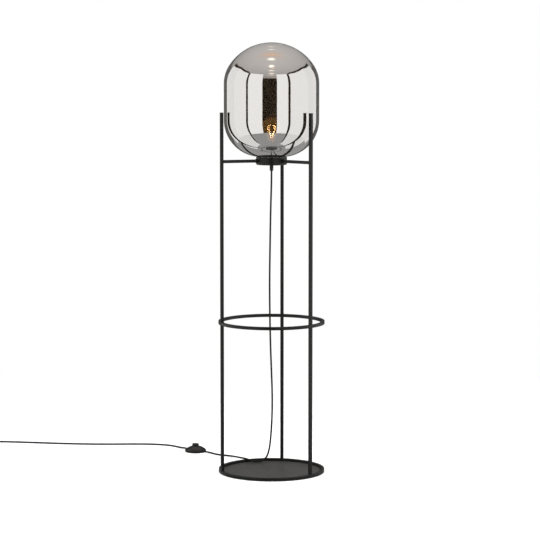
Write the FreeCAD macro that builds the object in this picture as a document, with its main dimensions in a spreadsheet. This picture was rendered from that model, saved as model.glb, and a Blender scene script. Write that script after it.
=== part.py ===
import FreeCAD, Part
import math
import os
import Sketcher
from FreeCAD import Placement, Rotation, Vector

# Globe floor lamp, in millimetres. The origin is on the floor at the centre of the round base, +Z is up,
# and the back post stands at +Y. A square steel tube of one size makes the posts, both rings and the
# crossbars. The hub hangs on the crossbars and carries the glass globe, the lamp holder and the lead.

SIZES = (
    ("tube_width", 10.0, "square tube of posts, rings and crossbars"),
    ("tube_wall", 1.2, "its wall"),
    ("ring_radius", 170.0, "lamp axis to the centre line of rings and posts"),
    ("pad_height", 1.5, "felt pad under the tray"),
    ("pad_radius", 8.0, "felt pad"),
    ("pad_circle", 150.0, "lamp axis to a pad's centre"),
    ("pad_count", 6.0, "pads on that circle"),
    ("tray_thickness", 1.5, "sheet of the tray"),
    ("weld_gap", 0.1, "gap that a weld or a push fit closes"),
    ("ring_height", 500.0, "floor to the middle of the upper ring"),
    ("post_top", 1188.0, "floor to the top of the posts"),
    ("cap_height", 2.0, "head of a post's end cap"),
    ("insert_length", 15.0, "threaded insert in a tube's end"),
    ("crossbar_height", 1031.0, "floor to the middle of the crossbars"),
    ("collar_radius", 6.5, "round spacer between crossbar and hub"),
    ("collar_length", 4.0, "length of that spacer"),
    ("hub_radius", 50.5, "hub"),
    ("hub_wall", 1.5, "sheet of the hub"),
    ("hub_bottom", 1018.0, "floor to the hub's underside"),
    ("hub_height", 25.0, "hub"),
    ("hub_corner", 4.0, "rounding at the hub's lower edge"),
    ("cover_thickness", 2.0, "plate that closes the hub"),
    ("spigot_radius", 36.8, "collar on the plate that centres the globe"),
    ("spigot_height", 7.0, "its height"),
    ("gasket_height", 1.3, "silicone ring under the globe"),
    ("glass_radius", 155.5, "globe, its straight middle"),
    ("glass_top", 1416.0, "floor to the globe's top"),
    ("glass_wall", 2.8, "glass"),
    ("dome_radius", 165.0, "arc over the globe's top"),
    ("shoulder_radius", 110.0, "arc from the dome to the straight middle"),
    ("bowl_radius", 120.0, "arc from the straight middle to the foot"),
    ("foot_radius", 44.0, "ground flat foot, outer edge"),
    ("opening_radius", 38.0, "opening in the foot"),
    ("holder_radius", 20.0, "lamp holder"),
    ("holder_height", 53.0, "lamp holder"),
    ("bulb_contact", 1067.0, "floor to the bulb's foot contact"),
    ("bulb_radius", 30.0, "bulb"),
    ("bulb_centre", 1142.0, "floor to the middle of the bulb's ball"),
    ("bulb_cap_radius", 13.2, "bulb's screw cap"),
    ("filament_length", 38.0, "one filament rod"),
    ("cord_radius", 3.0, "round two-core lead"),
    ("relief_length", 20.0, "strain relief below the hub"),
    ("relief_radius", 6.2, "strain relief where it meets the hub"),
    ("switch_radius", 36.5, "foot switch"),
    ("switch_height", 21.0, "foot switch without its button"),
    ("button_radius", 11.5, "push button"),
    ("button_top", 29.5, "floor to the button's crown"),
    ("button_travel", 3.5, "how far the button goes down"),
    ("coil_radius", 39.5, "put-away coil, centre line of its outer turn"),
    ("coil_pitch", 6.8, "step from turn to turn and from layer to layer"),
    ("pin_radius", 2.0, "plug pin"),
    ("pin_length", 19.0, "plug pin"),
    ("pin_spacing", 19.0, "plug pin to plug pin"),
)

POSTS = (("back", 90.0), ("left", 210.0), ("right", 330.0))
THREE_FOLD = 3
Z_AXIS = Vector(0, 0, 1)
SWITCH_PLACE = Placement(Vector(-330, 283.5, 0), Rotation(Z_AXIS, 150))
COIL_CENTRE = Vector(-1093.2, 260, 0)
COIL_START_ANGLE = 102.0
PLUG_GRIP, PLUG_RELIEF = 20.0, 22.0
PLUG_PLACE = Placement(Vector(-1106, 154, 7), Rotation(Z_AXIS, 282))

# The lead from the strain relief down to the tray, over its rim and along the floor into the foot switch.
CORD_TO_SWITCH = (
    (0, 0, 998), (0, 0, 960), (-3, 3.5, 893), (-6, 10, 818), (-9, 18.5, 738), (-12.5, 29, 655),
    (-15, 41, 571), (-16.5, 53.5, 487), (-17.5, 67, 403), (-17, 80, 320), (-17, 93.5, 238),
    (-20.5, 105, 160), (-26.5, 114, 96), (-32.5, 119, 51), (-43, 119.5, 20), (-64, 117.5, 6.6),
    (-88, 115, 8.5), (-113, 119, 20.5), (-139, 135, 20.5), (-160, 165.5, 9), (-181, 196.5, 3.2),
    (-208, 218.5, 3.2), (-241, 230, 3.2), (-278, 253.5, 6.5), (-309.2, 271.5, 6.5),
)

# The lead from the foot switch along the floor to the put-away coil.
CORD_TO_COIL = (
    (-350.8, 295.5, 6.5), (-377, 310.6, 6.5), (-399.5, 335, 3.2), (-429, 358.5, 3.2),
    (-467.5, 371, 3.2), (-513.5, 372.5, 3.2), (-573, 363, 3.2), (-639, 345.5, 3.2),
    (-708.5, 331, 3.2), (-782, 321.5, 3.2), (-856.5, 317, 3.2), (-932, 315, 3.2),
    (-1002, 312.5, 3.2), (-1057, 306, 3.2), (-1095.5, 300, 3.2),
)


class Length:
    """A size from the sheet, or worked out from such sizes, with the expression that binds it."""

    def __init__(self, value, text):
        self.value = value
        self.text = text

    def combined(self, sign, other, value):
        return Length(value, f"({self.text} {sign} {other.text})")

    def __add__(self, other):
        other = as_length(other)
        return self.combined("+", other, self.value + other.value)

    def __sub__(self, other):
        other = as_length(other)
        return self.combined("-", other, self.value - other.value)

    def __mul__(self, other):
        other = as_length(other)
        return self.combined("*", other, self.value * other.value)

    def __truediv__(self, other):
        other = as_length(other)
        return self.combined("/", other, self.value / other.value)

    def root(self):
        return Length(math.sqrt(self.value), f"sqrt({self.text})")


def as_length(number):
    """A plain number as a Length."""
    return number if isinstance(number, Length) else Length(float(number), f"{float(number):.4f}")


class Sizes:
    """The sheet's sizes as attributes."""


def make_sheet():
    """Write the driving sizes to the sheet and give them back as Lengths."""
    sheet = doc.addObject("Spreadsheet::Sheet", "Sizes")
    sizes = Sizes()
    for row, (name, value, meaning) in enumerate(SIZES, start=1):
        sheet.set(f"A{row}", meaning)
        sheet.set(f"B{row}", str(value))
        sheet.setAlias(f"B{row}", name)
        setattr(sizes, name, Length(value, f"Sizes.{name}"))
    doc.recompute()
    return sizes


def bind(feature, name, length):
    """Set a property and bind it to the sheet."""
    length = as_length(length)
    setattr(feature, name, length.value)
    feature.setExpression(name, length.text)


# ---- sketches ------------------------------------------------------------------------------------------

HORIZONTAL_AXIS, VERTICAL_AXIS = -1, -2
ROOT_POINT = (-1, 1)
CENTRE_POINT = 3


def new_body(label):
    body = doc.addObject("PartDesign::Body", label)
    body.Label = label
    nodes[label] = body
    return body


def origin_feature(body, role):
    return next(feature for feature in body.Origin.OriginFeatures if feature.Role == role)


def sketch_on(body, role, offset=0.0):
    """A sketch on one of the body's own planes, moved along the plane's normal."""
    sketch = body.newObject("Sketcher::SketchObject", body.Name + "_sketch")
    sketch.AttachmentSupport = [(origin_feature(body, role), "")]
    sketch.MapMode = "FlatFace"
    offset = as_length(offset)
    sketch.AttachmentOffset = Placement(Vector(0, 0, offset.value), Rotation())
    sketch.setExpression("AttachmentOffset.Base.z", offset.text)
    return sketch


def dimension(sketch, kind, *place, length):
    """One driving dimension, bound to the sheet."""
    index = sketch.addConstraint(Sketcher.Constraint(kind, *place, length.value))
    sketch.setExpression(f"Constraints[{index}]", length.text)


def fix_point(sketch, edge, point, x, y):
    """Hold a point of an edge at x and y from the sketch's origin."""
    for kind, length, axis in (("DistanceX", x, VERTICAL_AXIS), ("DistanceY", y, HORIZONTAL_AXIS)):
        length = as_length(length)
        if abs(length.value) < 1e-9:
            sketch.addConstraint(Sketcher.Constraint("PointOnObject", edge, point, axis))
        else:
            dimension(sketch, kind, *ROOT_POINT, edge, point, length=length)


def circle(sketch, x, y, radius):
    radius = as_length(radius)
    centre = Vector(as_length(x).value, as_length(y).value, 0)
    edge = sketch.addGeometry(Part.Circle(centre, Z_AXIS, radius.value))
    dimension(sketch, "Radius", edge, length=radius)
    fix_point(sketch, edge, CENTRE_POINT, x, y)


def arc_between(start, end, radius):
    """An arc of under half a circle; it turns left for a positive radius, right for a negative one."""
    if radius < 0:
        return arc_between(end, start, -radius)
    chord = end - start
    middle = (start + end) * 0.5
    rise = math.sqrt(radius**2 - (chord.Length / 2) ** 2)
    centre = middle + Vector(-chord.y, chord.x, 0).normalize() * rise
    first = math.atan2(start.y - centre.y, start.x - centre.x)
    last = math.atan2(end.y - centre.y, end.x - centre.x)
    return Part.ArcOfCircle(Part.Circle(centre, Z_AXIS, radius), first, last)


def outline(sketch, corners):
    """A closed outline. A corner is (x, y), or (x, y, radius) where an arc leads to it."""
    points = [Vector(as_length(corner[0]).value, as_length(corner[1]).value, 0) for corner in corners]
    ends = []
    for index, corner in enumerate(corners):
        start, end = points[index - 1], points[index]
        if len(corner) == 2:
            edge = sketch.addGeometry(Part.LineSegment(start, end))
            ends.append((edge, 1, 2))
            continue
        radius = as_length(corner[2])
        edge = sketch.addGeometry(arc_between(start, end, radius.value))
        ends.append((edge, 1, 2) if radius.value > 0 else (edge, 2, 1))
    for (edge, _, last), (following, first, _) in zip(ends, ends[1:] + ends[:1]):
        sketch.addConstraint(Sketcher.Constraint("Coincident", edge, last, following, first))
    for (edge, _, last), corner in zip(ends, corners):
        fix_point(sketch, edge, last, corner[0], corner[1])
        if len(corner) == 3:
            size = as_length(corner[2])
            size = size if size.value > 0 else as_length(0) - size
            dimension(sketch, "Radius", edge, length=size)


def rectangle(sketch, x, y, width, depth):
    """A rectangle centred on x and y."""
    x, y = as_length(x), as_length(y)
    half_width, half_depth = as_length(width) / 2, as_length(depth) / 2
    left, right = x - half_width, x + half_width
    low, high = y - half_depth, y + half_depth
    outline(sketch, ((left, low), (right, low), (right, high), (left, high)))


# ---- features ------------------------------------------------------------------------------------------


def pad(body, sketch, length):
    feature = body.newObject("PartDesign::Pad", body.Name + "_pad")
    feature.Profile = sketch
    bind(feature, "Length", length)
    doc.recompute()
    return feature


def revolution(body, sketch, axis="V_Axis"):
    feature = body.newObject("PartDesign::Revolution", body.Name + "_turn")
    feature.Profile = sketch
    feature.ReferenceAxis = (sketch, [axis])
    feature.Angle = 360.0
    doc.recompute()
    return feature


def pocket(body, sketch, length, towards_normal=False):
    """A cut along the sketch's normal or against it; it has to take something away."""
    before = body.Shape.Volume
    feature = body.newObject("PartDesign::Pocket", body.Name + "_cut")
    feature.Profile = sketch
    feature.Reversed = towards_normal
    bind(feature, "Length", length)
    doc.recompute()
    if body.Shape.Volume > before - 1e-3:
        raise ValueError(f"{body.Label}: a pocket cuts nothing")
    return feature


def around_axis(body, originals, count=THREE_FOLD):
    """Repeat features evenly about the lamp's axis."""
    before = body.Shape.Volume
    feature = body.newObject("PartDesign::PolarPattern", body.Name + "_pattern")
    feature.Originals = originals
    feature.Axis = (origin_feature(body, "Z_Axis"), [""])
    feature.Angle = 360.0
    feature.Occurrences = count
    body.Tip = feature
    doc.recompute()
    if abs(body.Shape.Volume - before) < 1e-3:
        raise ValueError(f"{body.Label}: a pattern changes nothing")
    return feature


def turned(label, corners, placement=None):
    """A piece turned about its own upright axis from a closed outline of (radius, height) corners."""
    body = new_body(label)
    sketch = sketch_on(body, "XZ_Plane")
    outline(sketch, corners)
    revolution(body, sketch)
    if placement:
        body.Placement = placement
    return body


def disc(label, radius, bottom, height, hole=None):
    """A flat round piece, with a round hole where one is given."""
    body = new_body(label)
    sketch = sketch_on(body, "XY_Plane", bottom)
    circle(sketch, 0, 0, radius)
    if hole:
        circle(sketch, 0, 0, hole)
    pad(body, sketch, height)
    return body


def turn_to_back(body):
    """Turn a three-fold piece so that its first part faces the back post."""
    body.Placement = Placement(Vector(), Rotation(Z_AXIS, POSTS[0][1]))


def shape_piece(label, shape, placement=None):
    """A piece whose shape comes from a path and a section."""
    piece = doc.addObject("Part::Feature", label)
    piece.Label = label
    piece.Shape = shape
    if placement:
        piece.Placement = placement
    nodes[label] = piece
    return piece


# ---- base ----------------------------------------------------------------------------------------------


def tube_ring(label, middle):
    """A ring rolled from the square tube, hollow, about the lamp's axis."""
    body = new_body(label)
    sketch = sketch_on(body, "XZ_Plane")
    rectangle(sketch, s.ring_radius, middle, s.tube_width, s.tube_width)
    inner = s.tube_width - s.tube_wall * 2
    rectangle(sketch, s.ring_radius, middle, inner, inner)
    revolution(body, sketch)
    return body


def drill_ring(body, bottom, depth, radius):
    """Upright holes in a ring, one at each post."""
    sketch = sketch_on(body, "XY_Plane", bottom)
    circle(sketch, s.ring_radius, 0, radius)
    hole = pocket(body, sketch, depth, towards_normal=True)
    around_axis(body, [hole])


def make_base():
    tray_bottom = s.pad_height
    rim_bottom, rim_top = tray_bottom, tray_bottom + s.tube_width

    rim = tube_ring("base_rim", rim_bottom + s.tube_width / 2)
    drill_ring(rim, rim_bottom, s.tube_wall + 0.5, 4.0)
    drill_ring(rim, rim_top - s.tube_wall - 0.5, s.tube_wall + 0.5, 2.2)
    turn_to_back(rim)

    disc("base_tray", s.ring_radius - s.tube_width / 2 - s.weld_gap, tray_bottom, s.tray_thickness)

    pads = new_body("base_pads")
    sketch = sketch_on(pads, "XY_Plane")
    circle(sketch, s.pad_circle, 0, s.pad_radius)
    around_axis(pads, [pad(pads, sketch, s.pad_height)], int(s.pad_count.value))

    head_height, head_radius, shank_radius = 2.6, 3.5, 2.0
    head_bottom = rim_top - s.tube_wall - head_height
    screws = new_body("base_screws")
    sketch = sketch_on(screws, "XY_Plane", head_bottom)
    circle(sketch, s.ring_radius, 0, head_radius)
    head = pad(screws, sketch, head_height)
    sketch = sketch_on(screws, "XY_Plane", head_bottom + head_height)
    circle(sketch, s.ring_radius, 0, shank_radius)
    shank = pad(screws, sketch, s.tube_wall + 12)
    around_axis(screws, [head, shank])
    turn_to_back(screws)

    threaded_inserts("foot_inserts", (rim_top,), shank_radius + 0.05)


def threaded_inserts(label, bottoms, hole_radius):
    """Square threaded inserts that fill the ends of the post tubes, at each of the given heights."""
    body = new_body(label)
    width = s.tube_width - s.tube_wall * 2 - s.weld_gap * 2
    blocks = []
    for bottom in bottoms:
        sketch = sketch_on(body, "XY_Plane", bottom)
        rectangle(sketch, s.ring_radius, 0, width, width)
        circle(sketch, s.ring_radius, 0, hole_radius)
        blocks.append(pad(body, sketch, s.insert_length))
    around_axis(body, blocks)
    turn_to_back(body)


# ---- posts and upper ring ------------------------------------------------------------------------------


def square_tube(label, role, offset, centre, length, angle):
    """A straight square tube along the normal of its sketch plane, turned about the lamp's axis."""
    body = new_body(label)
    sketch = sketch_on(body, role, offset)
    rectangle(sketch, *centre, s.tube_width, s.tube_width)
    inner = s.tube_width - s.tube_wall * 2
    rectangle(sketch, *centre, inner, inner)
    pad(body, sketch, length)
    body.Placement = Placement(Vector(), Rotation(Z_AXIS, angle))
    return body


def make_posts():
    rim_top = s.pad_height + s.tube_width
    ring_bottom = s.ring_height - s.tube_width / 2
    ring_top = s.ring_height + s.tube_width / 2
    centre = (s.ring_radius, 0)
    for side, angle in POSTS:
        square_tube(f"lower_post_{side}", "XY_Plane", rim_top, centre, ring_bottom - rim_top, angle)
        square_tube(f"upper_post_{side}", "XY_Plane", ring_top, centre, s.post_top - ring_top, angle)

    stud_radius, stud_reach = 3.0, 13.0
    ring = tube_ring("upper_ring", s.ring_height)
    drill_ring(ring, ring_bottom, s.tube_width, stud_radius + 0.3)
    turn_to_back(ring)

    threaded_inserts("ring_inserts", (ring_bottom - s.insert_length, ring_top), stud_radius + 0.05)
    studs = new_body("ring_studs")
    sketch = sketch_on(studs, "XY_Plane", ring_bottom - stud_reach)
    circle(sketch, s.ring_radius, 0, stud_radius)
    around_axis(studs, [pad(studs, sketch, s.tube_width + stud_reach * 2)])
    turn_to_back(studs)

    plug_length = 10.0
    inner = s.tube_width - s.tube_wall * 2 - s.weld_gap * 2
    caps = new_body("post_caps")
    sketch = sketch_on(caps, "XY_Plane", s.post_top - plug_length)
    rectangle(sketch, s.ring_radius, 0, inner, inner)
    plug = pad(caps, sketch, plug_length)
    sketch = sketch_on(caps, "XY_Plane", s.post_top)
    rectangle(sketch, s.ring_radius, 0, s.tube_width, s.tube_width)
    head = pad(caps, sketch, s.cap_height)
    around_axis(caps, [plug, head])
    turn_to_back(caps)


# ---- crossbars -----------------------------------------------------------------------------------------


def radial_pads(label, stages):
    """Pieces along the three crossbars, from (start, length, section) stages; a section draws a sketch."""
    body = new_body(label)
    features = []
    for start, length, section in stages:
        sketch = sketch_on(body, "YZ_Plane", start)
        section(sketch)
        features.append(pad(body, sketch, length))
    around_axis(body, features)
    turn_to_back(body)
    return body


def make_crossbars():
    bolt_radius, head_radius, head_height = 2.5, 4.5, 3.2
    collar_end = s.hub_radius + s.collar_length
    post_face = s.ring_radius - s.tube_width / 2
    centre = (0, s.crossbar_height)
    for side, angle in POSTS:
        length = post_face - collar_end
        square_tube(f"crossbar_{side}", "YZ_Plane", collar_end, centre, length, angle)

    def collar_section(sketch):
        circle(sketch, *centre, s.collar_radius)
        circle(sketch, *centre, bolt_radius + 0.25)

    seat_depth = 2.0
    collars = radial_pads(
        "crossbar_collars", ((s.hub_radius - seat_depth, s.collar_length + seat_depth, collar_section),)
    )
    sketch = sketch_on(collars, "XY_Plane", s.hub_bottom)
    circle(sketch, 0, 0, s.hub_radius)
    pocket(collars, sketch, s.hub_height, towards_normal=True)

    def plug_section(sketch):
        width = s.tube_width - s.tube_wall * 2 - s.weld_gap * 2
        rectangle(sketch, *centre, width, width)
        circle(sketch, *centre, bolt_radius + 0.05)

    radial_pads("crossbar_inserts", ((collar_end, s.insert_length, plug_section),))

    head_start = s.hub_radius - s.hub_wall - head_height - 0.3
    shank_length = s.collar_length + s.hub_wall + 10
    radial_pads(
        "crossbar_bolts",
        (
            (head_start, head_height, lambda sketch: circle(sketch, *centre, head_radius)),
            (head_start + head_height, shank_length, lambda sketch: circle(sketch, *centre, bolt_radius)),
        ),
    )


# ---- hub -----------------------------------------------------------------------------------------------


def make_hub():
    hub_top = s.hub_bottom + s.hub_height
    floor_top = s.hub_bottom + s.hub_wall
    inner = s.hub_radius - s.hub_wall
    corner_inside = s.hub_corner - s.hub_wall
    thread_radius = 5.0
    cup = turned(
        "hub_cup",
        (
            (thread_radius + 0.2, s.hub_bottom),
            (s.hub_radius - s.hub_corner, s.hub_bottom),
            (s.hub_radius, s.hub_bottom + s.hub_corner, s.hub_corner),
            (s.hub_radius, hub_top),
            (inner, hub_top),
            (inner, s.hub_bottom + s.hub_corner),
            (inner - corner_inside, floor_top, as_length(0) - corner_inside),
            (thread_radius + 0.2, floor_top),
        ),
    )
    sketch = sketch_on(cup, "YZ_Plane", s.hub_radius - 5)
    circle(sketch, 0, s.crossbar_height, 2.75)
    around_axis(cup, [pocket(cup, sketch, 8, towards_normal=True)])
    turn_to_back(cup)

    cover_bottom = hub_top - s.cover_thickness
    spigot_inside = s.spigot_radius - 2
    cover = turned(
        "hub_cover",
        (
            (thread_radius + 0.1, cover_bottom),
            (inner - 0.3, cover_bottom),
            (inner - 0.3, hub_top),
            (s.spigot_radius, hub_top),
            (s.spigot_radius, hub_top + s.spigot_height),
            (spigot_inside, hub_top + s.spigot_height),
            (spigot_inside, hub_top),
            (thread_radius + 0.1, hub_top),
        ),
    )
    pillar_circle, screw_radius = 27.0, 1.5
    sketch = sketch_on(cover, "XY_Plane", cover_bottom)
    circle(sketch, pillar_circle, 0, screw_radius + 0.2)
    around_axis(cover, [pocket(cover, sketch, s.cover_thickness, towards_normal=True)])
    turn_to_front(cover)

    pillars = new_body("hub_pillars")
    sketch = sketch_on(pillars, "XY_Plane", floor_top)
    circle(sketch, pillar_circle, 0, 3.5)
    circle(sketch, pillar_circle, 0, screw_radius + 0.05)
    around_axis(pillars, [pad(pillars, sketch, cover_bottom - floor_top)])
    turn_to_front(pillars)

    screws = new_body("cover_screws")
    sketch = sketch_on(screws, "XY_Plane", hub_top - 12)
    circle(sketch, pillar_circle, 0, screw_radius)
    shank = pad(screws, sketch, 12)
    sketch = sketch_on(screws, "XY_Plane", hub_top)
    circle(sketch, pillar_circle, 0, 2.8)
    around_axis(screws, [shank, pad(screws, sketch, 1.8)])
    turn_to_front(screws)

    disc("glass_gasket", s.foot_radius + 2.5, hub_top, s.gasket_height, hole=s.opening_radius)

    relief_bottom = s.hub_bottom - s.relief_length
    turned(
        "strain_relief",
        (
            (0, relief_bottom),
            (s.relief_radius - 1.4, relief_bottom),
            (s.relief_radius - 0.6, relief_bottom + 0.8, 0.8),
            (s.relief_radius, relief_bottom + 12),
            (s.relief_radius, s.hub_bottom),
            (thread_radius, s.hub_bottom),
            (thread_radius, floor_top + 6),
            (0, floor_top + 6),
        ),
    )
    hexagon_nut("relief_nut", floor_top, 4.0, thread_radius + 0.05)
    nipple_bottom = cover_bottom - 6
    disc("holder_nipple", thread_radius, nipple_bottom, 16.0, hole=3.6)
    hexagon_nut("nipple_nut", cover_bottom - 4.0, 4.0, thread_radius + 0.05)
    make_wiring(floor_top, floor_top + 6, nipple_bottom)


def turn_to_front(body):
    """Turn a three-fold piece so that its parts stand between the crossbars."""
    body.Placement = Placement(Vector(), Rotation(Z_AXIS, POSTS[0][1] + 180.0 / THREE_FOLD))


def hexagon_nut(label, bottom, height, hole):
    """A hexagon nut on the lamp's axis."""
    across_corners = 8.1
    body = new_body(label)
    sketch = sketch_on(body, "XY_Plane", bottom)
    angles = [math.radians(60 * corner) for corner in range(6)]
    outline(sketch, [(across_corners * math.cos(a), across_corners * math.sin(a)) for a in angles])
    circle(sketch, 0, 0, hole)
    pad(body, sketch, height)


def make_wiring(floor_top, lead_end, nipple_bottom):
    """The terminal block in the hub, its screws, and the two cores that go in and out of it."""
    centre_x, centre_y, width, depth, height = -16.0, -14.0, 18.0, 14.0, 12.0
    core_radius, core_step = 1.0, 2.4
    block = new_body("terminal_block")
    sketch = sketch_on(block, "XY_Plane", floor_top)
    rectangle(sketch, centre_x, centre_y, width, depth)
    pad(block, sketch, height)
    sketch = sketch_on(block, "XY_Plane", floor_top + height)
    screw_places = [
        (centre_x + side * 4.5, centre_y + row * 3.5) for side in (-1, 1) for row in (-1, 1)
    ]
    for place in screw_places:
        circle(sketch, *place, 1.7)
    pocket(block, sketch, 5.0)
    screws = new_body("terminal_screws")
    sketch = sketch_on(screws, "XY_Plane", floor_top + height - 5.0)
    for place in screw_places:
        circle(sketch, *place, 1.6)
    pad(screws, sketch, 3.0)

    block_side = centre_x + width / 2
    entry = floor_top.value + 6.0
    supply, feed = [], []
    for row, step in ((-1, -core_step / 2), (1, core_step / 2)):
        side_y = centre_y + row * 3.5
        supply.append(
            (
                Vector(step, 0, lead_end.value),
                Vector(step, 0, lead_end.value + 3.5),
                Vector(step / 2 - 2.5, side_y + 2.0, lead_end.value + 1.5),
                Vector(block_side + 3.5, side_y, entry),
                Vector(block_side, side_y, entry),
            )
        )
        feed.append(
            (
                Vector(centre_x + row * 4.5, centre_y + depth / 2, entry),
                Vector(centre_x + row * 4.5, centre_y + depth / 2 + 4.0, entry),
                Vector(-4.0 + step, 9.0 + step, entry + 3.0),
                Vector(step, 0.0, nipple_bottom.value - 4.5),
                Vector(step, 0.0, nipple_bottom.value + 12.0),
            )
        )
    for label, routes in (("supply_cores", supply), ("holder_cores", feed)):
        tubes = [tube(rounded_path(route), core_radius) for route in routes]
        shape_piece(label, Part.makeCompound(tubes))


# ---- globe ---------------------------------------------------------------------------------------------


def globe_side(inset):
    """Corners of the globe's wall from its foot to its top, moved inwards by inset."""
    foot = s.hub_bottom + s.hub_height + s.gasket_height
    side = s.glass_radius - inset
    bowl_offset = s.glass_radius - s.bowl_radius
    foot_reach = s.foot_radius - bowl_offset
    bowl_centre = foot + (s.bowl_radius * s.bowl_radius - foot_reach * foot_reach).root()
    dome_centre = s.glass_top - s.dome_radius
    shoulder_offset = s.glass_radius - s.shoulder_radius
    reach = s.dome_radius - s.shoulder_radius
    rise = (reach * reach - shoulder_offset * shoulder_offset).root()
    share = (s.dome_radius - inset) / reach
    return {
        "foot": foot,
        "bowl_centre": bowl_centre,
        "bowl_offset": bowl_offset,
        "bowl_radius": s.bowl_radius - inset,
        "corners": (
            (side, bowl_centre, s.bowl_radius - inset),
            (side, dome_centre + rise),
            (shoulder_offset * share, dome_centre + rise * share, s.shoulder_radius - inset),
            (0, s.glass_top - inset, s.dome_radius - inset),
        ),
    }


def make_globe():
    """The blown glass: ground foot, bowl, straight middle, shoulder and dome, one even wall."""
    outside, inside = globe_side(as_length(0)), globe_side(s.glass_wall)
    lip = s.opening_radius - inside["bowl_offset"]
    lip_height = inside["bowl_centre"] - (inside["bowl_radius"] * inside["bowl_radius"] - lip * lip).root()
    corners = [(s.opening_radius, outside["foot"]), (s.foot_radius, outside["foot"])]
    corners += outside["corners"]
    back = inside["corners"]
    corners.append((0, back[3][1]))
    corners.append((back[2][0], back[2][1], as_length(0) - back[3][2]))
    corners.append((back[1][0], back[1][1], as_length(0) - back[2][2]))
    corners.append((back[0][0], back[0][1]))
    corners.append((s.opening_radius, lip_height, as_length(0) - back[0][2]))
    turned("glass_globe", corners)


# ---- lamp holder and bulb ------------------------------------------------------------------------------


def make_lamp_holder():
    base = s.hub_bottom + s.hub_height
    seat = base + 18
    inner = s.holder_radius - 2
    turned(
        "holder_cap",
        (
            (5.1, base),
            (s.holder_radius - 4, base),
            (s.holder_radius, base + 4, 4.0),
            (s.holder_radius, seat),
            (inner, seat),
            (inner, base + 8),
            (inner - 2.5, base + 8),
            (inner - 2.5, base + 3),
            (5.1, base + 3),
        ),
    )
    disc("holder_core", inner - 0.2, base + 8, 10.0, hole=3.0)
    turned(
        "holder_sleeve",
        (
            (s.holder_radius - 5, seat),
            (s.holder_radius, seat),
            (s.holder_radius - 1, base + s.holder_height - 1.5),
            (s.holder_radius - 2.5, base + s.holder_height, 1.5),
            (s.holder_radius - 4.2, base + s.holder_height),
            (s.holder_radius - 4.2, seat + 3),
            (s.holder_radius - 5, seat + 3),
        ),
    )
    disc("holder_shell", s.bulb_cap_radius + 1.1, seat, 21.0, hole=s.bulb_cap_radius + 0.4)

    strip_width, strip_thickness = 6.0, 0.8
    tongue = new_body("holder_contact")
    sketch = sketch_on(tongue, "XZ_Plane", -strip_width / 2)
    outline(
        sketch,
        (
            (-9, seat),
            (-5, seat),
            (2, s.bulb_contact - strip_thickness),
            (4, s.bulb_contact - strip_thickness),
            (4, s.bulb_contact),
            (1.6, s.bulb_contact),
            (-5.4, seat + strip_thickness),
            (-9, seat + strip_thickness),
        ),
    )
    pad(tongue, sketch, strip_width)


def make_bulb():
    """A pear-shaped bulb: foot contact, insulator, screw cap, glass, stem and four filament rods."""
    disc("bulb_contact", 4.8, s.bulb_contact, 1.6)
    turned(
        "bulb_insulator",
        (
            (0, s.bulb_contact + 1.6),
            (5.5, s.bulb_contact + 1.6),
            (s.bulb_cap_radius - 2.2, s.bulb_contact + 5),
            (0, s.bulb_contact + 5),
        ),
    )
    cap_bottom, cap_top = s.bulb_contact + 5, s.bulb_contact + 26
    turned(
        "bulb_cap",
        (
            (0, cap_bottom),
            (s.bulb_cap_radius - 2.2, cap_bottom),
            (s.bulb_cap_radius, cap_bottom + 2.2, 2.2),
            (s.bulb_cap_radius, cap_top),
            (s.bulb_cap_radius - 0.5, cap_top),
            (s.bulb_cap_radius - 0.5, cap_bottom + 2),
            (0, cap_bottom + 2),
        ),
    )

    neck_radius, neck_height, wall = s.bulb_cap_radius - 0.6, cap_top, 0.8
    drop = s.bulb_centre - neck_height
    spread = (s.bulb_radius - neck_radius) * 2
    flare = (neck_radius * neck_radius + drop * drop - s.bulb_radius * s.bulb_radius) / spread
    flare_x = neck_radius + flare
    tangent_share = s.bulb_radius / (s.bulb_radius + flare)
    inner_share = (s.bulb_radius - wall) / (s.bulb_radius + flare)
    joint = (flare_x * tangent_share, s.bulb_centre - drop * tangent_share)
    joint_inside = (flare_x * inner_share, s.bulb_centre - drop * inner_share)
    inner_ball = s.bulb_radius - wall
    turned(
        "bulb_glass",
        (
            (neck_radius - wall, neck_height - 8),
            (neck_radius, neck_height - 8),
            (neck_radius, neck_height),
            (*joint, as_length(0) - flare),
            (s.bulb_radius, s.bulb_centre, s.bulb_radius),
            (0, s.bulb_centre + s.bulb_radius, s.bulb_radius),
            (0, s.bulb_centre + inner_ball),
            (inner_ball, s.bulb_centre, as_length(0) - inner_ball),
            (*joint_inside, as_length(0) - inner_ball),
            (neck_radius - wall, neck_height, flare + wall),
        ),
    )

    rod_count, foot_radius, lean = 4, 5.0, 11.0
    filament_foot = s.bulb_centre - 34
    flare_radius = neck_radius - wall - 0.05
    turned(
        "bulb_stem",
        (
            (0, cap_bottom + 14),
            (flare_radius, cap_bottom + 14),
            (flare_radius, cap_bottom + 15),
            (2.4, cap_bottom + 28, -15),
            (2.4, filament_foot - 1.2),
            (foot_radius + 1, filament_foot - 1.2),
            (foot_radius + 1, filament_foot - 0.15),
            (0, filament_foot - 0.15),
        ),
    )

    rods = []
    for number in range(rod_count):
        rod = doc.addObject("Part::Cylinder", f"filament_rod_{number}")
        bind(rod, "Radius", 0.9)
        bind(rod, "Height", s.filament_length)
        turn = Rotation(Z_AXIS, 45 + 90 * number)
        foot = turn.multVec(Vector(foot_radius, 0, 0)) + Vector(0, 0, filament_foot.value)
        rod.Placement = Placement(foot, turn.multiply(Rotation(Vector(0, 1, 0), lean)))
        rods.append(rod)
    group = doc.addObject("Part::Compound", "bulb_filaments")
    group.Label = "bulb_filaments"
    group.Links = rods
    nodes["bulb_filaments"] = group


# ---- foot switch ---------------------------------------------------------------------------------------


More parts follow.
